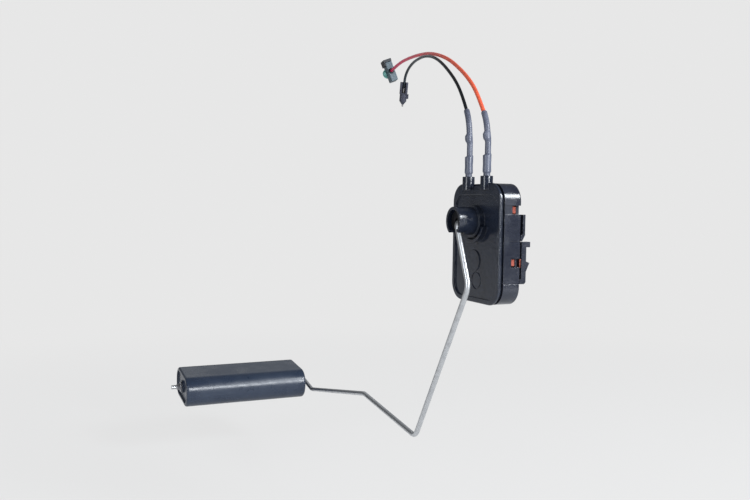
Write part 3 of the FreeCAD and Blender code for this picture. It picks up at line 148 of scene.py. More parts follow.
class Recipe:
    """One material and the nodes that make it."""

    def __init__(self, name: str) -> None:
        """Start an empty material with its shader and its object coordinates."""
        self.material = bpy.data.materials.new(name)
        self.material.use_nodes = True
        self.tree = self.material.node_tree
        self.tree.nodes.clear()
        self.output = self.node("ShaderNodeOutputMaterial")
        self.place = self.node("ShaderNodeTexCoord").outputs["Object"]

    def node(self, kind: str, settings: dict[str, Any] | None = None,
             inputs: dict[Union[str, int], Input] | None = None) -> bpy.types.Node:
        """Add a node, set it up and fill its sockets.

        Args:
            kind: The node's type.
            settings: Its own settings, made before the sockets are filled.
            inputs: Numbers, colours or links, by socket name or place.

        Returns:
            The node.
        """
        node = self.tree.nodes.new(kind)
        for name, setting in (settings or {}).items():
            setattr(node, name, setting)
        for name, given in (inputs or {}).items():
            given = given.socket if isinstance(given, Value) else given
            if isinstance(given, bpy.types.NodeSocket):
                self.tree.links.new(given, node.inputs[name])
            else:
                node.inputs[name].default_value = given
        return node

    def value(self, kind: str, settings: dict[str, Any] | None = None,
              inputs: dict[Union[str, int], Input] | None = None,
              output: Union[str, int] = 0) -> Value:
        """Add a node and return one of its outputs as a number.

        Args:
            kind: The node's type.
            settings: Its own settings.
            inputs: Numbers, colours or links, by socket name or place.
            output: Which output is returned.

        Returns:
            The output as a number.
        """
        return Value(self, self.node(kind, settings, inputs).outputs[output])

    def noise(self, scale: float, detail: float = 3.0, stretch: Triple = (1.0, 1.0, 1.0)) -> Value:
        """Soft noise on the object's own coordinates.

        Args:
            scale: Blotches per metre.
            detail: How much finer noise is added.
            stretch: Scale along each axis.

        Returns:
            A number about 0.5.
        """
        place = self.node("ShaderNodeMapping", None, {"Vector": self.place, "Scale": stretch})
        inputs = {"Vector": place.outputs[0], "Scale": scale, "Detail": detail}
        return self.value("ShaderNodeTexNoise", None, inputs)

    def axis(self, letter: str) -> Value:
        """Place along one of the object's axes, in metres."""
        return self.value("ShaderNodeSeparateXYZ", None, {0: self.place}, output=letter)

    def mix(self, amount: Input, first: Input, second: Input) -> bpy.types.NodeSocket:
        """Mix two colours.

        Args:
            amount: 0 for the first, 1 for the second.
            first: A colour or a link.
            second: A colour or a link.

        Returns:
            The mixed colour.
        """
        first = (*first, 1.0) if isinstance(first, tuple) else first
        second = (*second, 1.0) if isinstance(second, tuple) else second
        inputs = {0: amount, 6: first, 7: second}
        return self.node("ShaderNodeMix", {"data_type": "RGBA"}, inputs).outputs[2]

    def edge(self, radius: float) -> tuple[bpy.types.NodeSocket, Value]:
        """Find the edges of a piece.

        Args:
            radius: How far from an edge counts, in metres.

        Returns:
            The softened normal, and a number that rises near edges.
        """
        soft = self.node("ShaderNodeBevel", {"samples": 6}, {"Radius": radius}).outputs[0]
        sharp = self.node("ShaderNodeNewGeometry").outputs["Normal"]
        settings = {"operation": "DOT_PRODUCT"}
        inputs = {0: soft, 1: sharp}
        match = self.value("ShaderNodeVectorMath", settings, inputs, output="Value")
        return soft, (1.0 - match).ramp(0.02, 0.35)

    def bump(self, height: Value, depth: float, strength: float,
             normal: bpy.types.NodeSocket | None = None) -> bpy.types.NodeSocket:
        """Turn a height into a normal.

        Args:
            height: A number from 0 to 1.
            depth: The height of 1, in metres.
            strength: How strongly it shows.
            normal: The normal to start from.

        Returns:
            The bumped normal.
        """
        inputs: dict[Union[str, int], Input] = {"Height": height, "Distance": depth, "Strength": strength}
        if normal is not None:
            inputs["Normal"] = normal
        return self.node("ShaderNodeBump", None, inputs).outputs[0]

    def shade(self, inputs: dict[Union[str, int], Input]) -> bpy.types.Material:
        """Close the recipe with its main shader.

        Args:
            inputs: What the shader's sockets get.

        Returns:
            The finished material.
        """
        shader = self.node("ShaderNodeBsdfPrincipled", None, inputs)
        self.tree.links.new(shader.outputs[0], self.output.inputs["Surface"])
        return self.material


# Finishes


@dataclass(frozen=True)
class MouldedPlastic:
    """Hard moulded plastic with fine grain, slight clouding and paler edges, which are a painted highlight."""

    name: str
    colour: Colour
    cloud: Colour
    roughness: float = 0.3
    grain: float = 0.00002
    grain_scale: float = 2600.0
    wave_scale: float = 380.0
    cloud_scale: float = 90.0
    scuff_scale: float = 700.0
    edge_radius: float = 0.0003
    edge_highlight: float = 0.35
    specular: float = 0.5

    def make(self) -> bpy.types.Material:
        """Build the material."""
        recipe = Recipe(self.name)
        normal, edge = recipe.edge(self.edge_radius)
        blotch = recipe.noise(self.cloud_scale, 4.0).ramp(0.35, 0.68)
        fine = recipe.noise(self.grain_scale, 2.0)
        waves = recipe.noise(self.wave_scale, 3.0)
        scuffs = recipe.noise(self.scuff_scale, 3.0, (1.0, 1.0, 0.08)).ramp(0.62, 0.8)
        # The pale tint mixed in near edges is a painted highlight.
        pale = tuple(min(1.0, 0.05 + 1.6 * part) for part in self.colour)
        base = recipe.mix(blotch * 0.6, self.colour, self.cloud)
        base = recipe.mix(edge * self.edge_highlight, base, pale)
        rough = self.roughness + 0.12 * (blotch - 0.5) + 0.08 * (fine - 0.5) + 0.1 * scuffs
        return recipe.shade({
            "Base Color": base, "Roughness": rough.clamped(), "Specular IOR Level": self.specular,
            "Normal": recipe.bump(fine + 2.5 * waves, self.grain, 0.6, normal),
        })


@dataclass(frozen=True)
class FoamSkin:
    """Smooth skin of closed-cell foam, slightly uneven and speckled, with a painted highlight along its edges.
    """

    name: str
    colour: Colour
    cloud: Colour
    roughness: float = 0.42

    def make(self) -> bpy.types.Material:
        """Build the material."""
        recipe = Recipe(self.name)
        normal, edge = recipe.edge(0.0006)
        cloud = recipe.noise(60.0, 5.0).ramp(0.3, 0.7)
        cells = recipe.noise(1800.0, 3.0)
        pits = recipe.noise(950.0, 1.0).ramp(0.66, 0.74)
        base = recipe.mix(cloud * 0.7, self.colour, self.cloud)
        base = recipe.mix(pits * 0.35, base, tuple(0.4 * part for part in self.colour))
        # The pale blue-grey mixed in near edges is a painted highlight.
        base = recipe.mix(edge * 0.25, base, (0.30, 0.32, 0.37))
        height = 0.7 * cells + 0.6 * cloud - 0.8 * pits
        rough = self.roughness + 0.16 * (cloud - 0.5) + 0.12 * (cells - 0.5)
        return recipe.shade({
            "Base Color": base, "Roughness": rough.clamped(), "Specular IOR Level": 0.5,
            "Normal": recipe.bump(height, 0.00005, 0.6, normal),
        })


@dataclass(frozen=True)
class Metal:
    """Drawn, stamped or plated metal with fine marks along one axis and a painted highlight along its edges."""

    name: str
    colour: Colour
    stain: Colour
    roughness: float = 0.3
    marks: Colour = (1.0, 1.0, 1.0)
    metallic: float = 1.0
    tooth: float = 0.00001

    def make(self) -> bpy.types.Material:
        """Build the material."""
        recipe = Recipe(self.name)
        normal, edge = recipe.edge(0.0002)
        stain = recipe.noise(320.0, 4.0).ramp(0.4, 0.75)
        lines = recipe.noise(3000.0, 2.0, self.marks)
        # The brighter tint mixed in near edges is a painted highlight.
        bright = tuple(min(1.0, 1.3 * part) for part in self.colour)
        base = recipe.mix(stain * 0.55, self.colour, self.stain)
        base = recipe.mix(edge * 0.5, base, bright)
        rough = self.roughness + 0.2 * (stain - 0.4) + 0.15 * (lines - 0.5)
        return recipe.shade({
            "Base Color": base, "Roughness": rough.clamped(), "Metallic": self.metallic,
            "Normal": recipe.bump(lines, self.tooth, 0.5, normal),
        })


@dataclass(frozen=True)
class Ceramic:
    """Fired card or printed ink: matt, with a fine tooth."""

    name: str
    colour: Colour
    speck: Colour
    roughness: float = 0.6

    def make(self) -> bpy.types.Material:
        """Build the material."""
        recipe = Recipe(self.name)
        grain = recipe.noise(4200.0, 3.0)
        speck = recipe.noise(1500.0, 2.0).ramp(0.6, 0.75)
        base = recipe.mix(speck * 0.5, self.colour, self.speck)
        return recipe.shade({
            "Base Color": base, "Roughness": (self.roughness + 0.15 * (grain - 0.5)).clamped(),
            "Normal": recipe.bump(grain, 0.00001, 0.5),
        })


@dataclass(frozen=True)
class ShrunkRubber:
    """Shrunk tubing: soft sheen, fine cross wrinkles and a dusty bloom."""

    name: str
    colour: Colour
    bloom: Colour
    roughness: float = 0.42

    def make(self) -> bpy.types.Material:
        """Build the material."""
        recipe = Recipe(self.name)
        wrinkle = recipe.noise(900.0, 3.0, (0.35, 0.35, 1.6))
        dust = recipe.noise(240.0, 5.0).ramp(0.4, 0.7)
        base = recipe.mix(dust * 0.5, self.colour, self.bloom)
        rough = self.roughness + 0.2 * (dust - 0.5) + 0.1 * (wrinkle - 0.5)
        return recipe.shade({
            "Base Color": base, "Roughness": rough.clamped(), "Specular IOR Level": 0.45,
            "Normal": recipe.bump(wrinkle, 0.00008, 0.5),
        })


@dataclass(frozen=True)
class WireSkin:
    """Extruded wire insulation whose colour shifts along the lead, from its far colour to its near colour; on
    the red lead this shift is painted light.
    """

    name: str
    near: Colour
    far: Colour
    near_x: float = -0.02
    far_x: float = -0.15
    roughness: float = 0.35
    specular: float = 0.3

    def make(self) -> bpy.types.Material:
        """Build the material."""
        recipe = Recipe(self.name)
        along = recipe.axis("X").ramp(self.far_x, self.near_x)
        grime = recipe.noise(420.0, 4.0).ramp(0.45, 0.75)
        ripple = recipe.noise(1500.0, 2.0)
        # The blend from the far colour to the near colour along X is painted light on the red lead.
        base = recipe.mix(along, self.far, self.near)
        base = recipe.mix(grime * 0.14, base, tuple(0.55 * part for part in self.far))
        rough = self.roughness + 0.18 * (grime - 0.4) + 0.08 * (ripple - 0.5)
        return recipe.shade({
            "Base Color": base, "Roughness": rough.clamped(), "Specular IOR Level": self.specular,
            "Normal": recipe.bump(ripple, 0.00003, 0.4),
        })


# The edge setting of each plastic finish sets the strength of its painted edge highlight.
COVER_FINISH = MouldedPlastic("cover_plastic", (0.007, 0.010, 0.019), (0.014, 0.018, 0.029), 0.17,
                              grain=0.00006, edge_highlight=0.4)
CASE_FINISH = MouldedPlastic("case_plastic", (0.008, 0.010, 0.018), (0.016, 0.019, 0.029), 0.18,
                             grain=0.00006, edge_radius=0.0002, edge_highlight=0.4)
# The hub's black plastic is made darker still, as painted shade inside the hood's opening.
HUB_SHADED_FINISH = MouldedPlastic("hub_plastic", (0.003, 0.003, 0.004), (0.005, 0.005, 0.007), 0.5, specular=0.2)
WASHER_FINISH = MouldedPlastic("washer_plastic", (0.62, 0.60, 0.54), (0.70, 0.68, 0.62), 0.45)
PLUG_FINISH = MouldedPlastic("plug_plastic", (0.014, 0.015, 0.026), (0.042, 0.045, 0.065), 0.34,
                             specular=0.35)
BLOCK_FINISH = MouldedPlastic("block_plastic", (0.02, 0.037, 0.05), (0.06, 0.088, 0.105), 0.32,
                              specular=0.35, edge_radius=0.0005, edge_highlight=0.7)
CAP_FINISH = MouldedPlastic("cap_plastic", (0.004, 0.005, 0.008), (0.01, 0.012, 0.016), 0.34,
                            specular=0.3, edge_highlight=0.15)
SEAL_FINISH = MouldedPlastic("seal_teal", (0.09, 0.28, 0.25), (0.17, 0.39, 0.35), 0.4, specular=0.4)
FLOAT_FINISH = FoamSkin("float_foam", (0.013, 0.021, 0.040), (0.022, 0.032, 0.054), 0.3)
WIRE_FINISH = Metal("arm_steel", (0.52, 0.53, 0.545), (0.36, 0.365, 0.38), 0.36, (0.1, 1.0, 0.1),
                    tooth=0.000002)
RETAINER_FINISH = Metal("retainer_steel", (0.42, 0.42, 0.44), (0.25, 0.25, 0.27), 0.35)
SPRING_FINISH = Metal("spring_steel", (0.48, 0.48, 0.49), (0.34, 0.33, 0.32), 0.3)
BRONZE_FINISH = Metal("spring_bronze", (0.62, 0.45, 0.25), (0.42, 0.28, 0.15), 0.3)
COPPER_FINISH = Metal("clip_copper", (0.27, 0.075, 0.055), (0.18, 0.05, 0.04), 0.36)
BRASS_FINISH = Metal("terminal_metal", (0.72, 0.56, 0.33), (0.50, 0.38, 0.22), 0.3)
TIN_FINISH = Metal("contact_metal", (0.26, 0.25, 0.25), (0.17, 0.165, 0.16), 0.5)
CRIMP_FINISH = Metal("crimp_metal", (0.62, 0.58, 0.48), (0.42, 0.38, 0.30), 0.34)
CARD_FINISH = Ceramic("card_ceramic", (0.66, 0.62, 0.54), (0.56, 0.52, 0.45))
TRACK_FINISH = Ceramic("track_ink", (0.03, 0.03, 0.033), (0.06, 0.06, 0.062), 0.45)
SLEEVE_FINISH = ShrunkRubber("sleeve_rubber", (0.062, 0.07, 0.10), (0.115, 0.125, 0.165))
# The red lead's near and far colours differ by painted light along it.
BLACK_SKIN = WireSkin("lead_black_skin", (0.006, 0.008, 0.010), (0.016, 0.022, 0.028), roughness=0.25)
RED_SKIN = WireSkin("lead_red_skin", (0.57, 0.09, 0.042), (0.44, 0.018, 0.068))


# Mesh tools


def new_piece(name: str, verts: Sequence[Vector], faces: Sequence[Sequence[int]],
              finish: bpy.types.Material, smooth: bool = True) -> bpy.types.Object:
    """Make an object at the origin from points that are already in place.

    Args:
        name: The object's name.
        verts: Points in metres.
        faces: Corner numbers of each face.
        finish: Its material.
        smooth: Whether it shades smoothly.

    Returns:
        The object, linked to the scene.
    """
    mesh = bpy.data.meshes.new(name)
    mesh.from_pydata([tuple(vert) for vert in verts], [], faces)
    mesh.materials.append(finish)
    mesh.polygons.foreach_set("use_smooth", [smooth] * len(mesh.polygons))
    solid = bmesh.new()
    solid.from_mesh(mesh)
    bmesh.ops.remove_doubles(solid, verts=solid.verts, dist=1e-7)
    bmesh.ops.recalc_face_normals(solid, faces=solid.faces)
    solid.to_mesh(mesh)
    solid.free()
    mesh.update()
    piece = bpy.data.objects.new(name, mesh)
    bpy.context.scene.collection.objects.link(piece)
    return piece


class Pattern:
    """A Geometry Nodes tree that repeats a shape, and the plain mesh that it gives."""

    def __init__(self, name: str) -> None:
        """Start a tree with a geometry output."""
        self.name = name
        self.tree = bpy.data.node_groups.new(name, "GeometryNodeTree")
        self.tree.interface.new_socket("Geometry", in_out="OUTPUT", socket_type="NodeSocketGeometry")
        self.exit = self.tree.nodes.new("NodeGroupOutput")
        self.entry = self.tree.nodes.new("NodeGroupInput")
        self.given: dict[str, Number] = {}
        self.keys: dict[str, str] = {}

    def size(self, name: str, value: Number) -> bpy.types.NodeSocket:
        """Add a named input.

        Args:
            name: The input's name.
            value: What it is set to.

        Returns:
            The socket that carries it in the tree.
        """
        kind = "NodeSocketInt" if isinstance(value, int) else "NodeSocketFloat"
        item = self.tree.interface.new_socket(name, in_out="INPUT", socket_type=kind)
        self.given[name] = value
        self.keys[name] = item.identifier
        return next(spot for spot in self.entry.outputs if spot.identifier == item.identifier)

    def node(self, kind: str, settings: dict[str, Any] | None = None,
             inputs: dict[Union[str, int], Any] | None = None,
             output: Union[str, int] = 0) -> bpy.types.NodeSocket:
        """Add a node and return one of its outputs.

        Args:
            kind: The node's type.
            settings: Its own settings.
            inputs: Numbers, vectors or links, by socket name or place.
            output: Which output is returned.

        Returns:
            The output.
        """
        node = self.tree.nodes.new(kind)
        for name, setting in (settings or {}).items():
            setattr(node, name, setting)
        for name, given in (inputs or {}).items():
            if isinstance(given, bpy.types.NodeSocket):
                self.tree.links.new(given, node.inputs[name])
            else:
                node.inputs[name].default_value = given
        return node.outputs[output]

    def vector(self, x: Any = 0.0, y: Any = 0.0, z: Any = 0.0) -> bpy.types.NodeSocket:
        """Join three numbers to a vector."""
        return self.node("ShaderNodeCombineXYZ", None, {"X": x, "Y": y, "Z": z})

    def mesh(self, shape: bpy.types.NodeSocket, finish: bpy.types.Material,
             place: Matrix) -> bpy.types.Object:
        """Close the tree and turn what it makes into a plain object.

        Args:
            shape: The tree's last geometry.
            finish: Its material.
            place: Where it goes, from its own axes to the scene's.

        Returns:
            The object, at the origin, with its place in its mesh.
        """
        real = self.node("GeometryNodeRealizeInstances", None, {0: shape})
        dressed = self.node("GeometryNodeSetMaterial", None, {"Geometry": real, "Material": finish})
        self.tree.links.new(dressed, self.exit.inputs[0])
        carrier = bpy.data.objects.new(f"{self.name}_carrier", bpy.data.meshes.new(self.name))
        bpy.context.scene.collection.objects.link(carrier)
        modifier = carrier.modifiers.new("pattern", "NODES")
        modifier.node_group = self.tree
        for name, value in self.given.items():
            modifier[self.keys[name]] = value
        graph = bpy.context.evaluated_depsgraph_get()
        baked = bpy.data.meshes.new_from_object(carrier.evaluated_get(graph), depsgraph=graph)
        carrier.modifiers.remove(modifier)
        bpy.data.objects.remove(carrier)
        baked.transform(place)
        if not baked.materials:
            baked.materials.append(finish)
        piece = bpy.data.objects.new(self.name, baked)
        bpy.context.scene.collection.objects.link(piece)
        log.info("%s made by its pattern, %d faces", self.name, len(baked.polygons))
        return piece


def stacked_rings(name: str, count: int, radius: float, wire: float, pitch: float,
                  finish: bpy.types.Material, place: Matrix) -> bpy.types.Object:
    """Make equal round ribs along their own Z axis.

    Args:
        name: The object's name.
        count: How many ribs there are.
        radius: Radius of each rib's middle line, in metres.
        wire: Radius of the rib itself, in metres.
        pitch: Distance from one to the next, in metres.
        finish: Their material.
        place: Where the first rib goes.

    Returns:
        The ribs as one object.
    """
    pattern = Pattern(name)
    ring = pattern.node("GeometryNodeCurvePrimitiveCircle", None, {
        "Resolution": 48, "Radius": pattern.size("Radius", radius)}, "Curve")
    section = pattern.node("GeometryNodeCurvePrimitiveCircle", None, {
        "Resolution": 10, "Radius": pattern.size("Wire", wire)}, "Curve")
    rib = pattern.node("GeometryNodeCurveToMesh", None, {"Curve": ring, "Profile Curve": section})
    step = pattern.vector(z=pattern.size("Pitch", pitch))
    row = pattern.node("GeometryNodeMeshLine", None, {
        "Count": pattern.size("Count", count), "Offset": step})
    ribs = pattern.node("GeometryNodeInstanceOnPoints", None, {"Points": row, "Instance": rib})
    smooth = pattern.node("GeometryNodeSetShadeSmooth", None, {0: ribs})
    return pattern.mesh(smooth, finish, place)


def ring_of_blocks(name: str, count: int, radius: float, block: Triple, lean: float,
                   finish: bpy.types.Material, place: Matrix) -> bpy.types.Object:
    """Set equal blocks round their own Z axis.

    Args:
        name: The object's name.
        count: How many blocks there are.
        radius: Distance of each block's middle from the axis, in metres.
        block: Its size outwards, along the ring and along the axis, in metres.
        lean: How far each block tips, in radians.
        finish: Their material.
        place: Where the ring goes.

    Returns:
        The blocks as one object.
    """
    pattern = Pattern(name)
    ring = pattern.node("GeometryNodeMeshCircle", None, {
        "Vertices": pattern.size("Count", count), "Radius": pattern.size("Radius", radius)})
    size = pattern.vector(pattern.size("Outwards", block[0]), pattern.size("Along ring", block[1]),
                          pattern.size("Along axis", block[2]))
    cube = pattern.node("GeometryNodeMeshCube", None, {"Size": size})
    tipped = pattern.node("GeometryNodeTransform", None, {
        "Geometry": cube, "Rotation": pattern.vector(y=pattern.size("Lean", lean))})
    spot = pattern.node("GeometryNodeInputPosition")
    facing = pattern.node("FunctionNodeAlignRotationToVector", {"axis": "X"}, {"Vector": spot})
    blocks = pattern.node("GeometryNodeInstanceOnPoints", None, {
        "Points": ring, "Instance": tipped, "Rotation": facing})
    return pattern.mesh(blocks, finish, place)


def row_of_bars(name: str, count: int, pitch: float, bar: Triple, finish: bpy.types.Material,
                place: Matrix) -> bpy.types.Object:
    """Set equal bars side by side along their own X axis, about its middle.

    Args:
        name: The object's name.
        count: How many bars there are.
        pitch: Distance from one to the next, in metres.
        bar: Size of a bar along each of its axes, in metres.
        finish: Their material.
        place: Where the row goes.

    Returns:
        The bars as one object.
    """
    pattern = Pattern(name)
    size = pattern.vector(pattern.size("Width", bar[0]), pattern.size("Length", bar[1]),
                          pattern.size("Height", bar[2]))
    cube = pattern.node("GeometryNodeMeshCube", None, {"Size": size})
    start = pattern.vector(pattern.size("Start", -pitch * (count - 1) / 2))
    step = pattern.vector(pattern.size("Pitch", pitch))
    row = pattern.node("GeometryNodeMeshLine", None, {
        "Count": pattern.size("Count", count), "Start Location": start, "Offset": step})
    bars = pattern.node("GeometryNodeInstanceOnPoints", None, {"Points": row, "Instance": cube})
    return pattern.mesh(bars, finish, place)


def lathe(name: str, outline: Sequence[tuple[float, float]], finish: bpy.types.Material,
          place: Matrix, sides: int = 64) -> bpy.types.Object:
    """Turn an outline about its own Z axis.

    Args:
        name: The object's name.
        outline: Radius and height of each point, in metres, from axis to axis.
        finish: Its material.
        place: Where the turned piece goes.
        sides: Points round the axis.

    Returns:
        The turned piece.
    """
    verts = [place @ Vector((radius * math.cos(turn), radius * math.sin(turn), height))
             for radius, height in outline
             for turn in (2 * math.pi * spot / sides for spot in range(sides))]
    faces = [(row * sides + spot, row * sides + (spot + 1) % sides,
              (row + 1) * sides + (spot + 1) % sides, (row + 1) * sides + spot)
             for row in range(len(outline) - 1) for spot in range(sides)]
    return new_piece(name, verts, faces, finish)


def join(pieces: Sequence[bpy.types.Object], name: str) -> bpy.types.Object:
    """Join objects whose meshes are in place and share a material.

    Args:
        pieces: The objects, which are used up.
        name: The joined object's name.

    Returns:
        The joined object.
    """
    whole = bmesh.new()
    for piece in pieces:
        whole.from_mesh(piece.data)
    mesh = bpy.data.meshes.new(name)
    whole.to_mesh(mesh)
    whole.free()
    mesh.materials.append(pieces[0].data.materials[0])
    for piece in pieces:
        bpy.data.objects.remove(piece)
    joined = bpy.data.objects.new(name, mesh)
    bpy.context.scene.collection.objects.link(joined)
    return joined


def dress(node: str, finish: bpy.types.Material) -> None:
    """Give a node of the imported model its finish.

    Args:
        node: The node's name.
        finish: Its material.
    """
    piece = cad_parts[node]
    piece.data.materials.clear()
    piece.data.materials.append(finish)
    log.info("%s dressed in %s", node, finish.name)


# Sub-assemblies


@dataclass
class LeadPath:
    """Where one lead runs, in an upright plane that starts at its terminal boss."""

    boss_x: float
    sleeve_start: float
    bend_radius: float
    bend_angle: float
    exit_run: float
    points: list[tuple[float, float]]
    boss_y: float = -12.9
    boss_top: float = 20.7
    bearing: float = 10.0

    def spot(self, reach: float, rise: float) -> Vector:
        """Place of a point given along the lead's plane.

        Args:
            reach: Distance from the boss along the plane.
            rise: Height over the pivot axis.

        Returns:
            The place in metres.
        """
        bearing = math.radians(self.bearing)
        return metres((
            self.boss_x - reach * math.cos(bearing), self.boss_y + reach * math.sin(bearing), rise))

    def mouth(self) -> tuple[float, float]:
        """Reach and rise of the sleeve's mouth."""
        turned = math.radians(self.bend_angle)
        return (self.bend_radius * (1 - math.cos(turned)),
                self.boss_top + self.sleeve_start + self.bend_radius * math.sin(turned))

    def route(self) -> list[Vector]:
        """Points of the lead from the sleeve's mouth to its connector, in metres."""
        turned = math.radians(self.bend_angle)
        reach, rise = self.mouth()
        first = (reach + self.exit_run * math.sin(turned), rise + self.exit_run * math.cos(turned))
        return [self.spot(*pair) for pair in [(reach, rise), first, *self.points]]

    def sleeve_point(self, length: float) -> tuple[Vector, Vector]:
        """Centre line of the sleeve.

        Args:
            length: Distance from the boss along it.

        Returns:
            The place and the heading there.
        """
        if length <= self.sleeve_start:
            return self.spot(0.0, self.boss_top + length), Vector((0, 0, 1))
        turned = (length - self.sleeve_start) / self.bend_radius
        reach = self.bend_radius * (1 - math.cos(turned))
        rise = self.boss_top + self.sleeve_start + self.bend_radius * math.sin(turned)
        ahead = self.spot(math.sin(turned), math.cos(turned)) - self.spot(0.0, 0.0)
        return self.spot(reach, rise), ahead.normalized()

    def sleeve_length(self) -> float:
        """Length of the sleeve along its centre line."""
        return self.sleeve_start + self.bend_radius * math.radians(self.bend_angle)


BLACK_PATH = LeadPath(-8.0, 18.2, 22.0, 38.0, 10.6, [
    (23.7, 71.1), (48.5, 84.6), (70.8, 90.7), (92.7, 91.5),
    (105.2, 89.5), (111.7, 86.4), (114.4, 83.0), (115.5, 78.8)])
RED_PATH = LeadPath(8.0, 15.9, 20.0, 42.0, 12.2, [
    (22.9, 66.6), (37.0, 74.6), (57.9, 84.1), (85.2, 91.8),
    (110.3, 95.4), (135.5, 97.4), (153.7, 97.8), (171.8, 96.3)])


@dataclass
class Sleeve:
    """Shrunk sleeve over a terminal post and the end of a lead."""

    name: str
    path: LeadPath
    lead_radius: float
    neck: float = 1.55
    neck_length: float = 1.2
    wide: float = 1.95
    wide_end: float = 9.3
    slim: float = 1.38
    slope: float = 0.7
    bulge_at: float = 18.0
    bulge_size: float = 0.92
    bulge_spread: float = 1.9
    lean: float = 0.3
    crimp_at: float = 5.2
    crimp_reach: float = 1.6
    pinch: float = 0.10
    ripple: float = 0.018
    lip: float = 0.12
    lip_length: float = 0.4
    grip: float = 0.8
    sides: int = 40
    step: float = 0.25

    def radius(self, length: float, turn: float) -> float:
        """Radius of the sleeve at a place on its surface.

        Args:
            length: Distance from the boss.
            turn: Angle round the centre line, 0 to the front.

        Returns:
            The radius.
        """
        def rise(start: float, slope: float = self.slope) -> float:
            """Smooth step from 0 to 1 over a slope's length."""
            part = min(max((length - start) / slope, 0.0), 1.0)
            return part * part * (3 - 2 * part)
        front = 0.5 + 0.5 * math.cos(turn)
        size = self.neck + (self.wide - self.neck) * rise(self.neck_length)
        size -= (self.wide - self.slim) * rise(self.wide_end, self.slope * (1.6 - front))
        size -= self.lean * math.cos(turn) * rise(self.wide_end) * (1 - rise(self.bulge_at - 2.5, 6.0))
        away = abs(length - self.bulge_at) / self.bulge_spread
        size += self.bulge_size * math.exp(-away ** 4) * front ** 1.5
        crimp = math.exp(-((length - self.crimp_at) / self.crimp_reach) ** 2)
        size -= self.pinch * crimp * (0.5 + 0.5 * math.cos(2 * turn + 1.1))
        size += self.ripple * math.sin(length * 5.3 + 1.7 * math.cos(turn)) * rise(self.wide_end)
        return size

    def build(self, finish: bpy.types.Material) -> bpy.types.Object:
        """Build the sleeve as a tube that closes round its lead.

        Args:
            finish: Its material.

        Returns:
            The sleeve.
        """
        total = self.path.sleeve_length()
        count = round(total / self.step)
        bearing = math.radians(self.path.bearing)
        front = Vector((-math.sin(bearing), -math.cos(bearing), 0))
        rings: list[list[Vector]] = []
        for index in range(count + 1):
            length = total * index / count
            centre, ahead = self.path.sleeve_point(length)
            side = ahead.cross(front).normalized()
            lip = self.lip * max(0.0, 1 - (total - length) / self.lip_length) ** 2
            rings.append([centre + (front * math.cos(turn) + side * math.sin(turn))
                          * (self.radius(length, turn) - lip) * MM
                          for turn in (2 * math.pi * spot / self.sides for spot in range(self.sides))])
        centre, ahead = self.path.sleeve_point(total)
        side = ahead.cross(front).normalized()
        for spare, sink in ((self.lip, 0.0), (self.lip / 3, self.grip)):
            radius = self.lead_radius + spare
            rings.append([centre - ahead * sink * MM
                          + (front * math.cos(turn) + side * math.sin(turn)) * radius * MM
                          for turn in (2 * math.pi * spot / self.sides for spot in range(self.sides))])
        verts = [vert for ring in rings for vert in ring]
        faces: list[Sequence[int]] = [
            (row * self.sides + spot, row * self.sides + (spot + 1) % self.sides,
             (row + 1) * self.sides + (spot + 1) % self.sides, (row + 1) * self.sides + spot)
            for row in range(len(rings) - 1) for spot in range(self.sides)]
        faces.append(list(range(self.sides))[::-1])
        faces.append([(len(rings) - 1) * self.sides + spot for spot in range(self.sides)])
        piece = new_piece(f"{self.name}_skin", verts, faces, finish)
        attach(piece, Body.HOUSING.value)
        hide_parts(self.name)
        log.info("%s built, %.1f mm long", self.name, total)
        return piece


@dataclass
class Lead:
    """An insulated lead that runs freely to its connector."""

    name: str
    path: LeadPath
    diameter: float
    length: float
    connector: tuple[str, ...]
    extras: list[bpy.types.Object] = field(default_factory=list)

    def build(self, finish: bpy.types.Material) -> bpy.types.Object:
        """Build the lead as a round cord.

        Args:
            finish: Its material.

        Returns:
            The cord.
        """
        points = self.path.route()
        curve = bpy.data.curves.new(self.name, "CURVE")
        curve.dimensions = "3D"
        curve.bevel_depth = self.diameter / 2 * MM
        curve.bevel_resolution = 6
        curve.use_fill_caps = True
        curve.resolution_u = 16
        spline = curve.splines.new("NURBS")
        spline.points.add(len(points) - 1)
        for spot, point in zip(spline.points, points):
            spot.co = (*point, 1.0)
        spline.order_u = 3
        spline.use_endpoint_u = True
        curve.materials.append(finish)
        cord = bpy.data.objects.new(f"{self.name}_cord", curve)
        bpy.context.scene.collection.objects.link(cord)
        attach(cord, Body.HOUSING.value)
        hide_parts(self.name)
        pieces = [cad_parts[node] for node in self.connector] + list(self.extras)
        log.info("%s laid through %d points", self.name, len(points))
        return cord


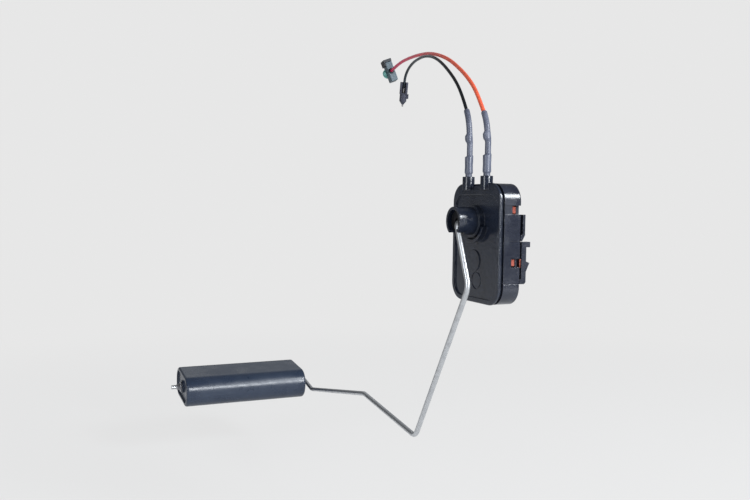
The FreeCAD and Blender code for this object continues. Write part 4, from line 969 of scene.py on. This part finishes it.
@dataclass
class BlockPlug:
    """Details of the red lead's block connector, in its own axes: Y up, Z back along the lead."""

    path: LeadPath
    lean: float = 21.0
    top: float = 6.3
    deep: float = 6.0
    cap_height: float = 1.8
    seal_radius: float = 3.2
    seal_reach: float = 2.0
    seal_shift: float = 1.0
    seal_neck: float = 1.05
    seal_sink: float = 0.95
    gap: float = 0.05
    rib: float = 0.25
    rib_count: int = 3
    rib_pitch: float = 0.62
    grip_count: int = 5
    grip_pitch: float = 0.8
    grip_bar: Triple = (0.35, 5.2, 0.22)
    grip_middle: tuple[float, float] = (-0.3, -3.0)
    collar_radius: float = 1.45
    collar_wire: float = 0.42
    collar_pitch: float = 0.4
    collar_lift: float = 0.02

    def frame(self) -> Matrix:
        """Axes of the connector in the scene."""
        points = self.path.route()
        back = (points[-2] - points[-1]).normalized()
        across = Vector((0, 0, 1)).cross(back).normalized()
        upright = back.cross(across).normalized()
        turned = math.radians(self.lean)
        tall = upright * math.cos(turned) - across * math.sin(turned)
        axes = Matrix((tall.cross(back), tall, back)).transposed()
        return Matrix.Translation(points[-1]) @ axes.to_4x4()

    def seal(self, finish: bpy.types.Material) -> bpy.types.Object:
        """Build the ribbed seal behind the connector, in place of its plain disc."""
        face = -self.deep - self.gap
        end = face - self.seal_reach
        inner = face + self.seal_sink
        place = self.frame() @ Matrix.Translation(metres((-self.seal_shift, 0, 0)))
        edge = self.seal_radius
        body = lathe("seal_body", [(radius * MM, height * MM) for radius, height in (
            (0.0, end + 0.25), (0.9, end + 0.25), (1.1, end), (edge - 0.75, end),
            (edge - 0.4, end + 0.15), (edge - 0.32, end + 0.4), (edge - 0.32, face - 0.25),
            (edge - 0.5, face), (self.seal_neck, face), (self.seal_neck, inner), (0.0, inner))],
            finish, place)
        ribs = stacked_rings("seal_ribs", self.rib_count, (edge - 0.27) * MM, self.rib * MM,
                             self.rib_pitch * MM, finish,
                             place @ Matrix.Translation(metres((0, 0, end + 0.4))))
        seal = join([body, ribs], "ribbed_seal")
        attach(seal, Body.HOUSING.value)
        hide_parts("red_connector_seal")
        return seal

    def trim(self, finish: bpy.types.Material) -> list[bpy.types.Object]:
        """Add the cap's grip ribs, and a black raised ring round the lead's entry that is painted shade for the
        dark cavity there.
        """
        axes = self.frame()
        across, along = self.grip_middle
        roof = metres((across, self.top + self.cap_height, along))
        grip = row_of_bars("cap_grip", self.grip_count, self.grip_pitch * MM,
                           tuple(metres(self.grip_bar)), finish,
                           axes @ Matrix.Translation(roof) @ Matrix.Rotation(math.radians(90), 4, "X"))
        # These black rings round the entry are painted shade for the darker cavity in the block's middle.
        collar = stacked_rings("entry_shade_collar", 2, self.collar_radius * MM, self.collar_wire * MM,
                               self.collar_pitch * MM, finish,
                               axes @ Matrix.Translation(metres((0, 0, self.collar_lift))))
        for piece in (grip, collar):
            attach(piece, Body.HOUSING.value)
        return [grip, collar]


@dataclass
class Studio:
    """Camera, soft lights, pale floor and backdrop. Lengths in metres."""

    azimuth: float = 66.19
    pitch: float = 3.18
    roll: float = 0.85
    lens: float = 37.24
    place: tuple[float, float, float] = (0.3114, -0.2017, 0.0059)
    floor_height: float = -0.165
    backdrop: float = 0.80
    air: float = 0.36
    mirrored_air: float = 0.2
    mirrored_floor: float = 0.35
    near_glow: float = 0.86
    glow_ring: tuple[float, float] = (0.05, 0.6)
    floor_reach: float = 6.0
    lamp_colour: Colour = (0.92, 0.96, 1.0)

    def camera(self) -> None:
        """Set up the camera where the photograph's stood."""
        azimuth, pitch, roll = (math.radians(angle) for angle in (self.azimuth, self.pitch, self.roll))
        ahead = Vector((-math.sin(azimuth) * math.cos(pitch), math.cos(azimuth) * math.cos(pitch),
                        -math.sin(pitch)))
        right = Vector((math.cos(azimuth), math.sin(azimuth), 0))
        upward = right.cross(ahead)
        across = right * math.cos(roll) + upward * math.sin(roll)
        upright = upward * math.cos(roll) - right * math.sin(roll)
        data = bpy.data.cameras.new("studio_camera")
        data.lens = self.lens
        data.sensor_width = 36.0
        data.sensor_fit = "HORIZONTAL"
        data.clip_start = 0.01
        data.clip_end = 20.0
        camera = bpy.data.objects.new("studio_camera", data)
        turned = Matrix((across, upright, -ahead)).transposed()
        camera.matrix_world = Matrix.Translation(self.place) @ turned.to_4x4()
        bpy.context.scene.collection.objects.link(camera)
        bpy.context.scene.camera = camera

    def lamp(self, name: str, place: Sequence[float], size: tuple[float, float], power: float,
             aim: Sequence[float] = (-0.1, -0.05, -0.03)) -> None:
        """Hang one soft lamp.

        Args:
            name: Its name.
            place: Where it hangs.
            size: Width and height of its panel.
            power: Its power in watts.
            aim: The point that it faces.
        """
        data = bpy.data.lights.new(name, "AREA")
        data.shape = "RECTANGLE"
        data.color = self.lamp_colour
        data.size, data.size_y = size
        data.energy = power
        lamp = bpy.data.objects.new(name, data)
        lamp.location = place
        lamp.rotation_euler = (Vector(aim) - Vector(place)).to_track_quat("-Z", "Y").to_euler()
        bpy.context.scene.collection.objects.link(lamp)

    @staticmethod
    def background(tree: bpy.types.NodeTree, colour: tuple[float, float, float, float],
                   strength: float) -> bpy.types.NodeSocket:
        """Add a plain background to the air.

        Args:
            tree: The world's nodes.
            colour: Its colour.
            strength: Its strength, 1 for white.

        Returns:
            The background's output.
        """
        node = tree.nodes.new("ShaderNodeBackground")
        node.inputs["Color"].default_value = colour
        node.inputs["Strength"].default_value = strength
        return node.outputs[0]

    def surroundings(self) -> None:
        """Lay the floor, raise the backdrop and light the air."""
        recipe = Recipe("studio_paper")
        path = recipe.node("ShaderNodeLightPath")
        seen = Value(recipe, path.outputs["Is Camera Ray"])
        mirrored = Value(recipe, path.outputs["Is Glossy Ray"])
        tone = (self.backdrop, self.backdrop, self.backdrop, 1.0)
        glow = recipe.node("ShaderNodeEmission", None, {"Color": tone, "Strength": 1.0})
        paper = recipe.node("ShaderNodeBsdfDiffuse", None, {"Color": tone})
        far = (recipe.axis("X") ** 2 + recipe.axis("Y") ** 2).ramp(*self.glow_ring)
        amount = seen * (self.near_glow + (1 - self.near_glow) * far) + self.mirrored_floor * mirrored
        mixed = recipe.node("ShaderNodeMixShader", None, {
            0: amount, 1: paper.outputs[0], 2: glow.outputs[0]})
        recipe.tree.links.new(mixed.outputs[0], recipe.output.inputs["Surface"])
        reach = self.floor_reach
        sheet = [Vector((x, y, self.floor_height)) for x, y in (
            (-reach, -reach), (reach, -reach), (reach, reach), (-reach, reach))]
        floor = new_piece("studio_floor", sheet, [(0, 1, 2, 3)], recipe.material, smooth=False)
        world = bpy.data.worlds.new("studio_air")
        bpy.context.scene.world = world
        world.use_nodes = True
        tree = world.node_tree
        tree.nodes.clear()
        output = tree.nodes.new("ShaderNodeOutputWorld")
        ray = tree.nodes.new("ShaderNodeLightPath")
        last = self.background(tree, (0.96, 0.98, 1.0, 1.0), self.air)
        for kind, colour, strength in (
                ("Is Glossy Ray", (0.94, 0.97, 1.0, 1.0), self.mirrored_air), ("Is Camera Ray", tone, 1.0)):
            mix = tree.nodes.new("ShaderNodeMixShader")
            tree.links.new(ray.outputs[kind], mix.inputs[0])
            tree.links.new(last, mix.inputs[1])
            tree.links.new(self.background(tree, colour, strength), mix.inputs[2])
            last = mix.outputs[0]
        tree.links.new(last, output.inputs["Surface"])

    def build(self) -> None:
        """Set up the whole studio."""
        self.camera()
        self.surroundings()
        self.lamp("float_lamp", (0.95, 0.24, 0.19), (0.22, 0.36), 10.5, (-0.22, -0.07, -0.12))
        self.lamp("front_lamp", (0.72, -0.55, 0.75), (0.4, 0.3), 1.2, (-0.15, -0.05, -0.05))
        self.lamp("back_lamp", (-1.1, 0.25, 0.45), (0.9, 0.5), 0.6)
        self.lamp("side_lamp", (0.74, 0.56, 0.56), (0.3, 0.3), 11.0)
        self.lamp("edge_lamp", (0.3, -1.06, 0.12), (0.3, 0.7), 5.0)
        bpy.context.scene.view_settings.view_transform = "Standard"
        log.info("studio ready")


@dataclass
class Housing:
    """Cover, case and the parts inside them."""

    tail_from: Triple = (16.2, -2.1, -20.4)
    tail_to: Triple = (20.0, -1.5, -16.4)
    tail_edge: float = 0.15

    finishes: dict[str, Any] = field(default_factory=lambda: {
        "front_cover": COVER_FINISH, "rear_case": CASE_FINISH, "resistor_card": CARD_FINISH,
        "card_tracks": TRACK_FINISH, "thrust_washer": WASHER_FINISH,
        "card_clip_upper": COPPER_FINISH, "card_clip_lower": COPPER_FINISH,
    })

    def build(self, terminal: bpy.types.Material) -> None:
        """Dress the housing.

        Args:
            terminal: The finish of both terminals.
        """
        made: dict[str, bpy.types.Material] = {}
        for node, finish in self.finishes.items():
            if finish.name not in made:
                made[finish.name] = finish.make()
            dress(node, made[finish.name])
        for node in ("ground_terminal", "signal_terminal"):
            dress(node, terminal)
        self.clip_tail(made[COPPER_FINISH.name])

    def clip_tail(self, copper: bpy.types.Material) -> bpy.types.Object:
        """Add the end of the lower clip that shows beside the latch."""
        shape = bmesh.new()
        bmesh.ops.create_cube(shape, size=1.0)
        low, high = metres(self.tail_from), metres(self.tail_to)
        bmesh.ops.scale(shape, vec=high - low, verts=shape.verts)
        bmesh.ops.translate(shape, vec=(high + low) / 2, verts=shape.verts)
        bmesh.ops.bevel(shape, geom=shape.edges[:], offset=self.tail_edge * MM, segments=2, affect="EDGES")
        mesh = bpy.data.meshes.new("clip_tail")
        shape.to_mesh(mesh)
        shape.free()
        mesh.materials.append(copper)
        tail = bpy.data.objects.new("clip_tail", mesh)
        bpy.context.scene.collection.objects.link(tail)
        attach(tail, Body.HOUSING.value)
        log.info("clip tail built")
        return tail


@dataclass
class FloatArm:
    """Hub, wiper, wire and float."""

    float_x: float = -219.71
    float_z: float = -118.37
    retainer_y: float = -110.38
    teeth: int = 8
    teeth_radius: float = 2.35
    tooth: Triple = (1.0, 0.7, 0.25)
    tooth_lean: float = 0.5
    tooth_shift: float = 0.75

    def prongs(self, finish: bpy.types.Material) -> bpy.types.Object:
        """Add the retainer's bent teeth that grip the wire."""
        axis = Matrix.Translation(metres((self.float_x, self.retainer_y, self.float_z)))
        ahead = Matrix.Rotation(math.radians(90), 4, "X")
        shift = Matrix.Translation(metres((0, -self.tooth_shift, 0)))
        teeth = ring_of_blocks("retainer_teeth", self.teeth, self.teeth_radius * MM,
                               tuple(metres(self.tooth)), self.tooth_lean, finish,
                               axis @ shift @ ahead)
        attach(teeth, Body.ARM.value)
        return teeth

    def build(self) -> None:
        """Dress the moving parts and add the retainer's teeth."""
        bronze = BRONZE_FINISH.make()
        dress("arm_hub", HUB_SHADED_FINISH.make())
        dress("hub_clip", SPRING_FINISH.make())
        dress("wiper", bronze)
        dress("wiper_contacts", bronze)
        dress("float_arm", WIRE_FINISH.make())
        retainer = RETAINER_FINISH.make()
        dress("float_retainer", retainer)
        self.prongs(retainer)
        dress("float", FLOAT_FINISH.make())


@dataclass
class Wiring:
    """Sleeves, leads and connectors."""

    black: Lead = field(default_factory=lambda: Lead(
        "lead_black", BLACK_PATH, 1.6, 128.2, ("black_connector", "black_contact")))
    red: Lead = field(default_factory=lambda: Lead(
        "lead_red", RED_PATH, 1.9, 178.8, ("red_connector", "red_connector_cap")))

    def build(self) -> None:
        """Build the wiring."""
        rubber = SLEEVE_FINISH.make()
        crimp = CRIMP_FINISH.make()
        cap = CAP_FINISH.make()
        block = BlockPlug(RED_PATH)
        self.red.extras = [block.seal(SEAL_FINISH.make()), *block.trim(cap)]
        self.black.build(BLACK_SKIN.make())
        self.red.build(RED_SKIN.make())
        for lead, colour in ((self.black, "black"), (self.red, "red")):
            Sleeve(f"sleeve_{colour}", lead.path, lead.diameter / 2).build(rubber)
            dress(f"crimp_{colour}", crimp)
        dress("black_connector", PLUG_FINISH.make())
        dress("black_contact", TIN_FINISH.make())
        dress("red_connector", BLOCK_FINISH.make())
        dress("red_connector_cap", cap)


def main() -> None:
    """Build the studio and every sub-assembly in order."""
    Studio().build()
    Wiring().build()
    Housing().build(BRASS_FINISH.make())
    FloatArm().build()


if __name__ == "__main__":
    main()
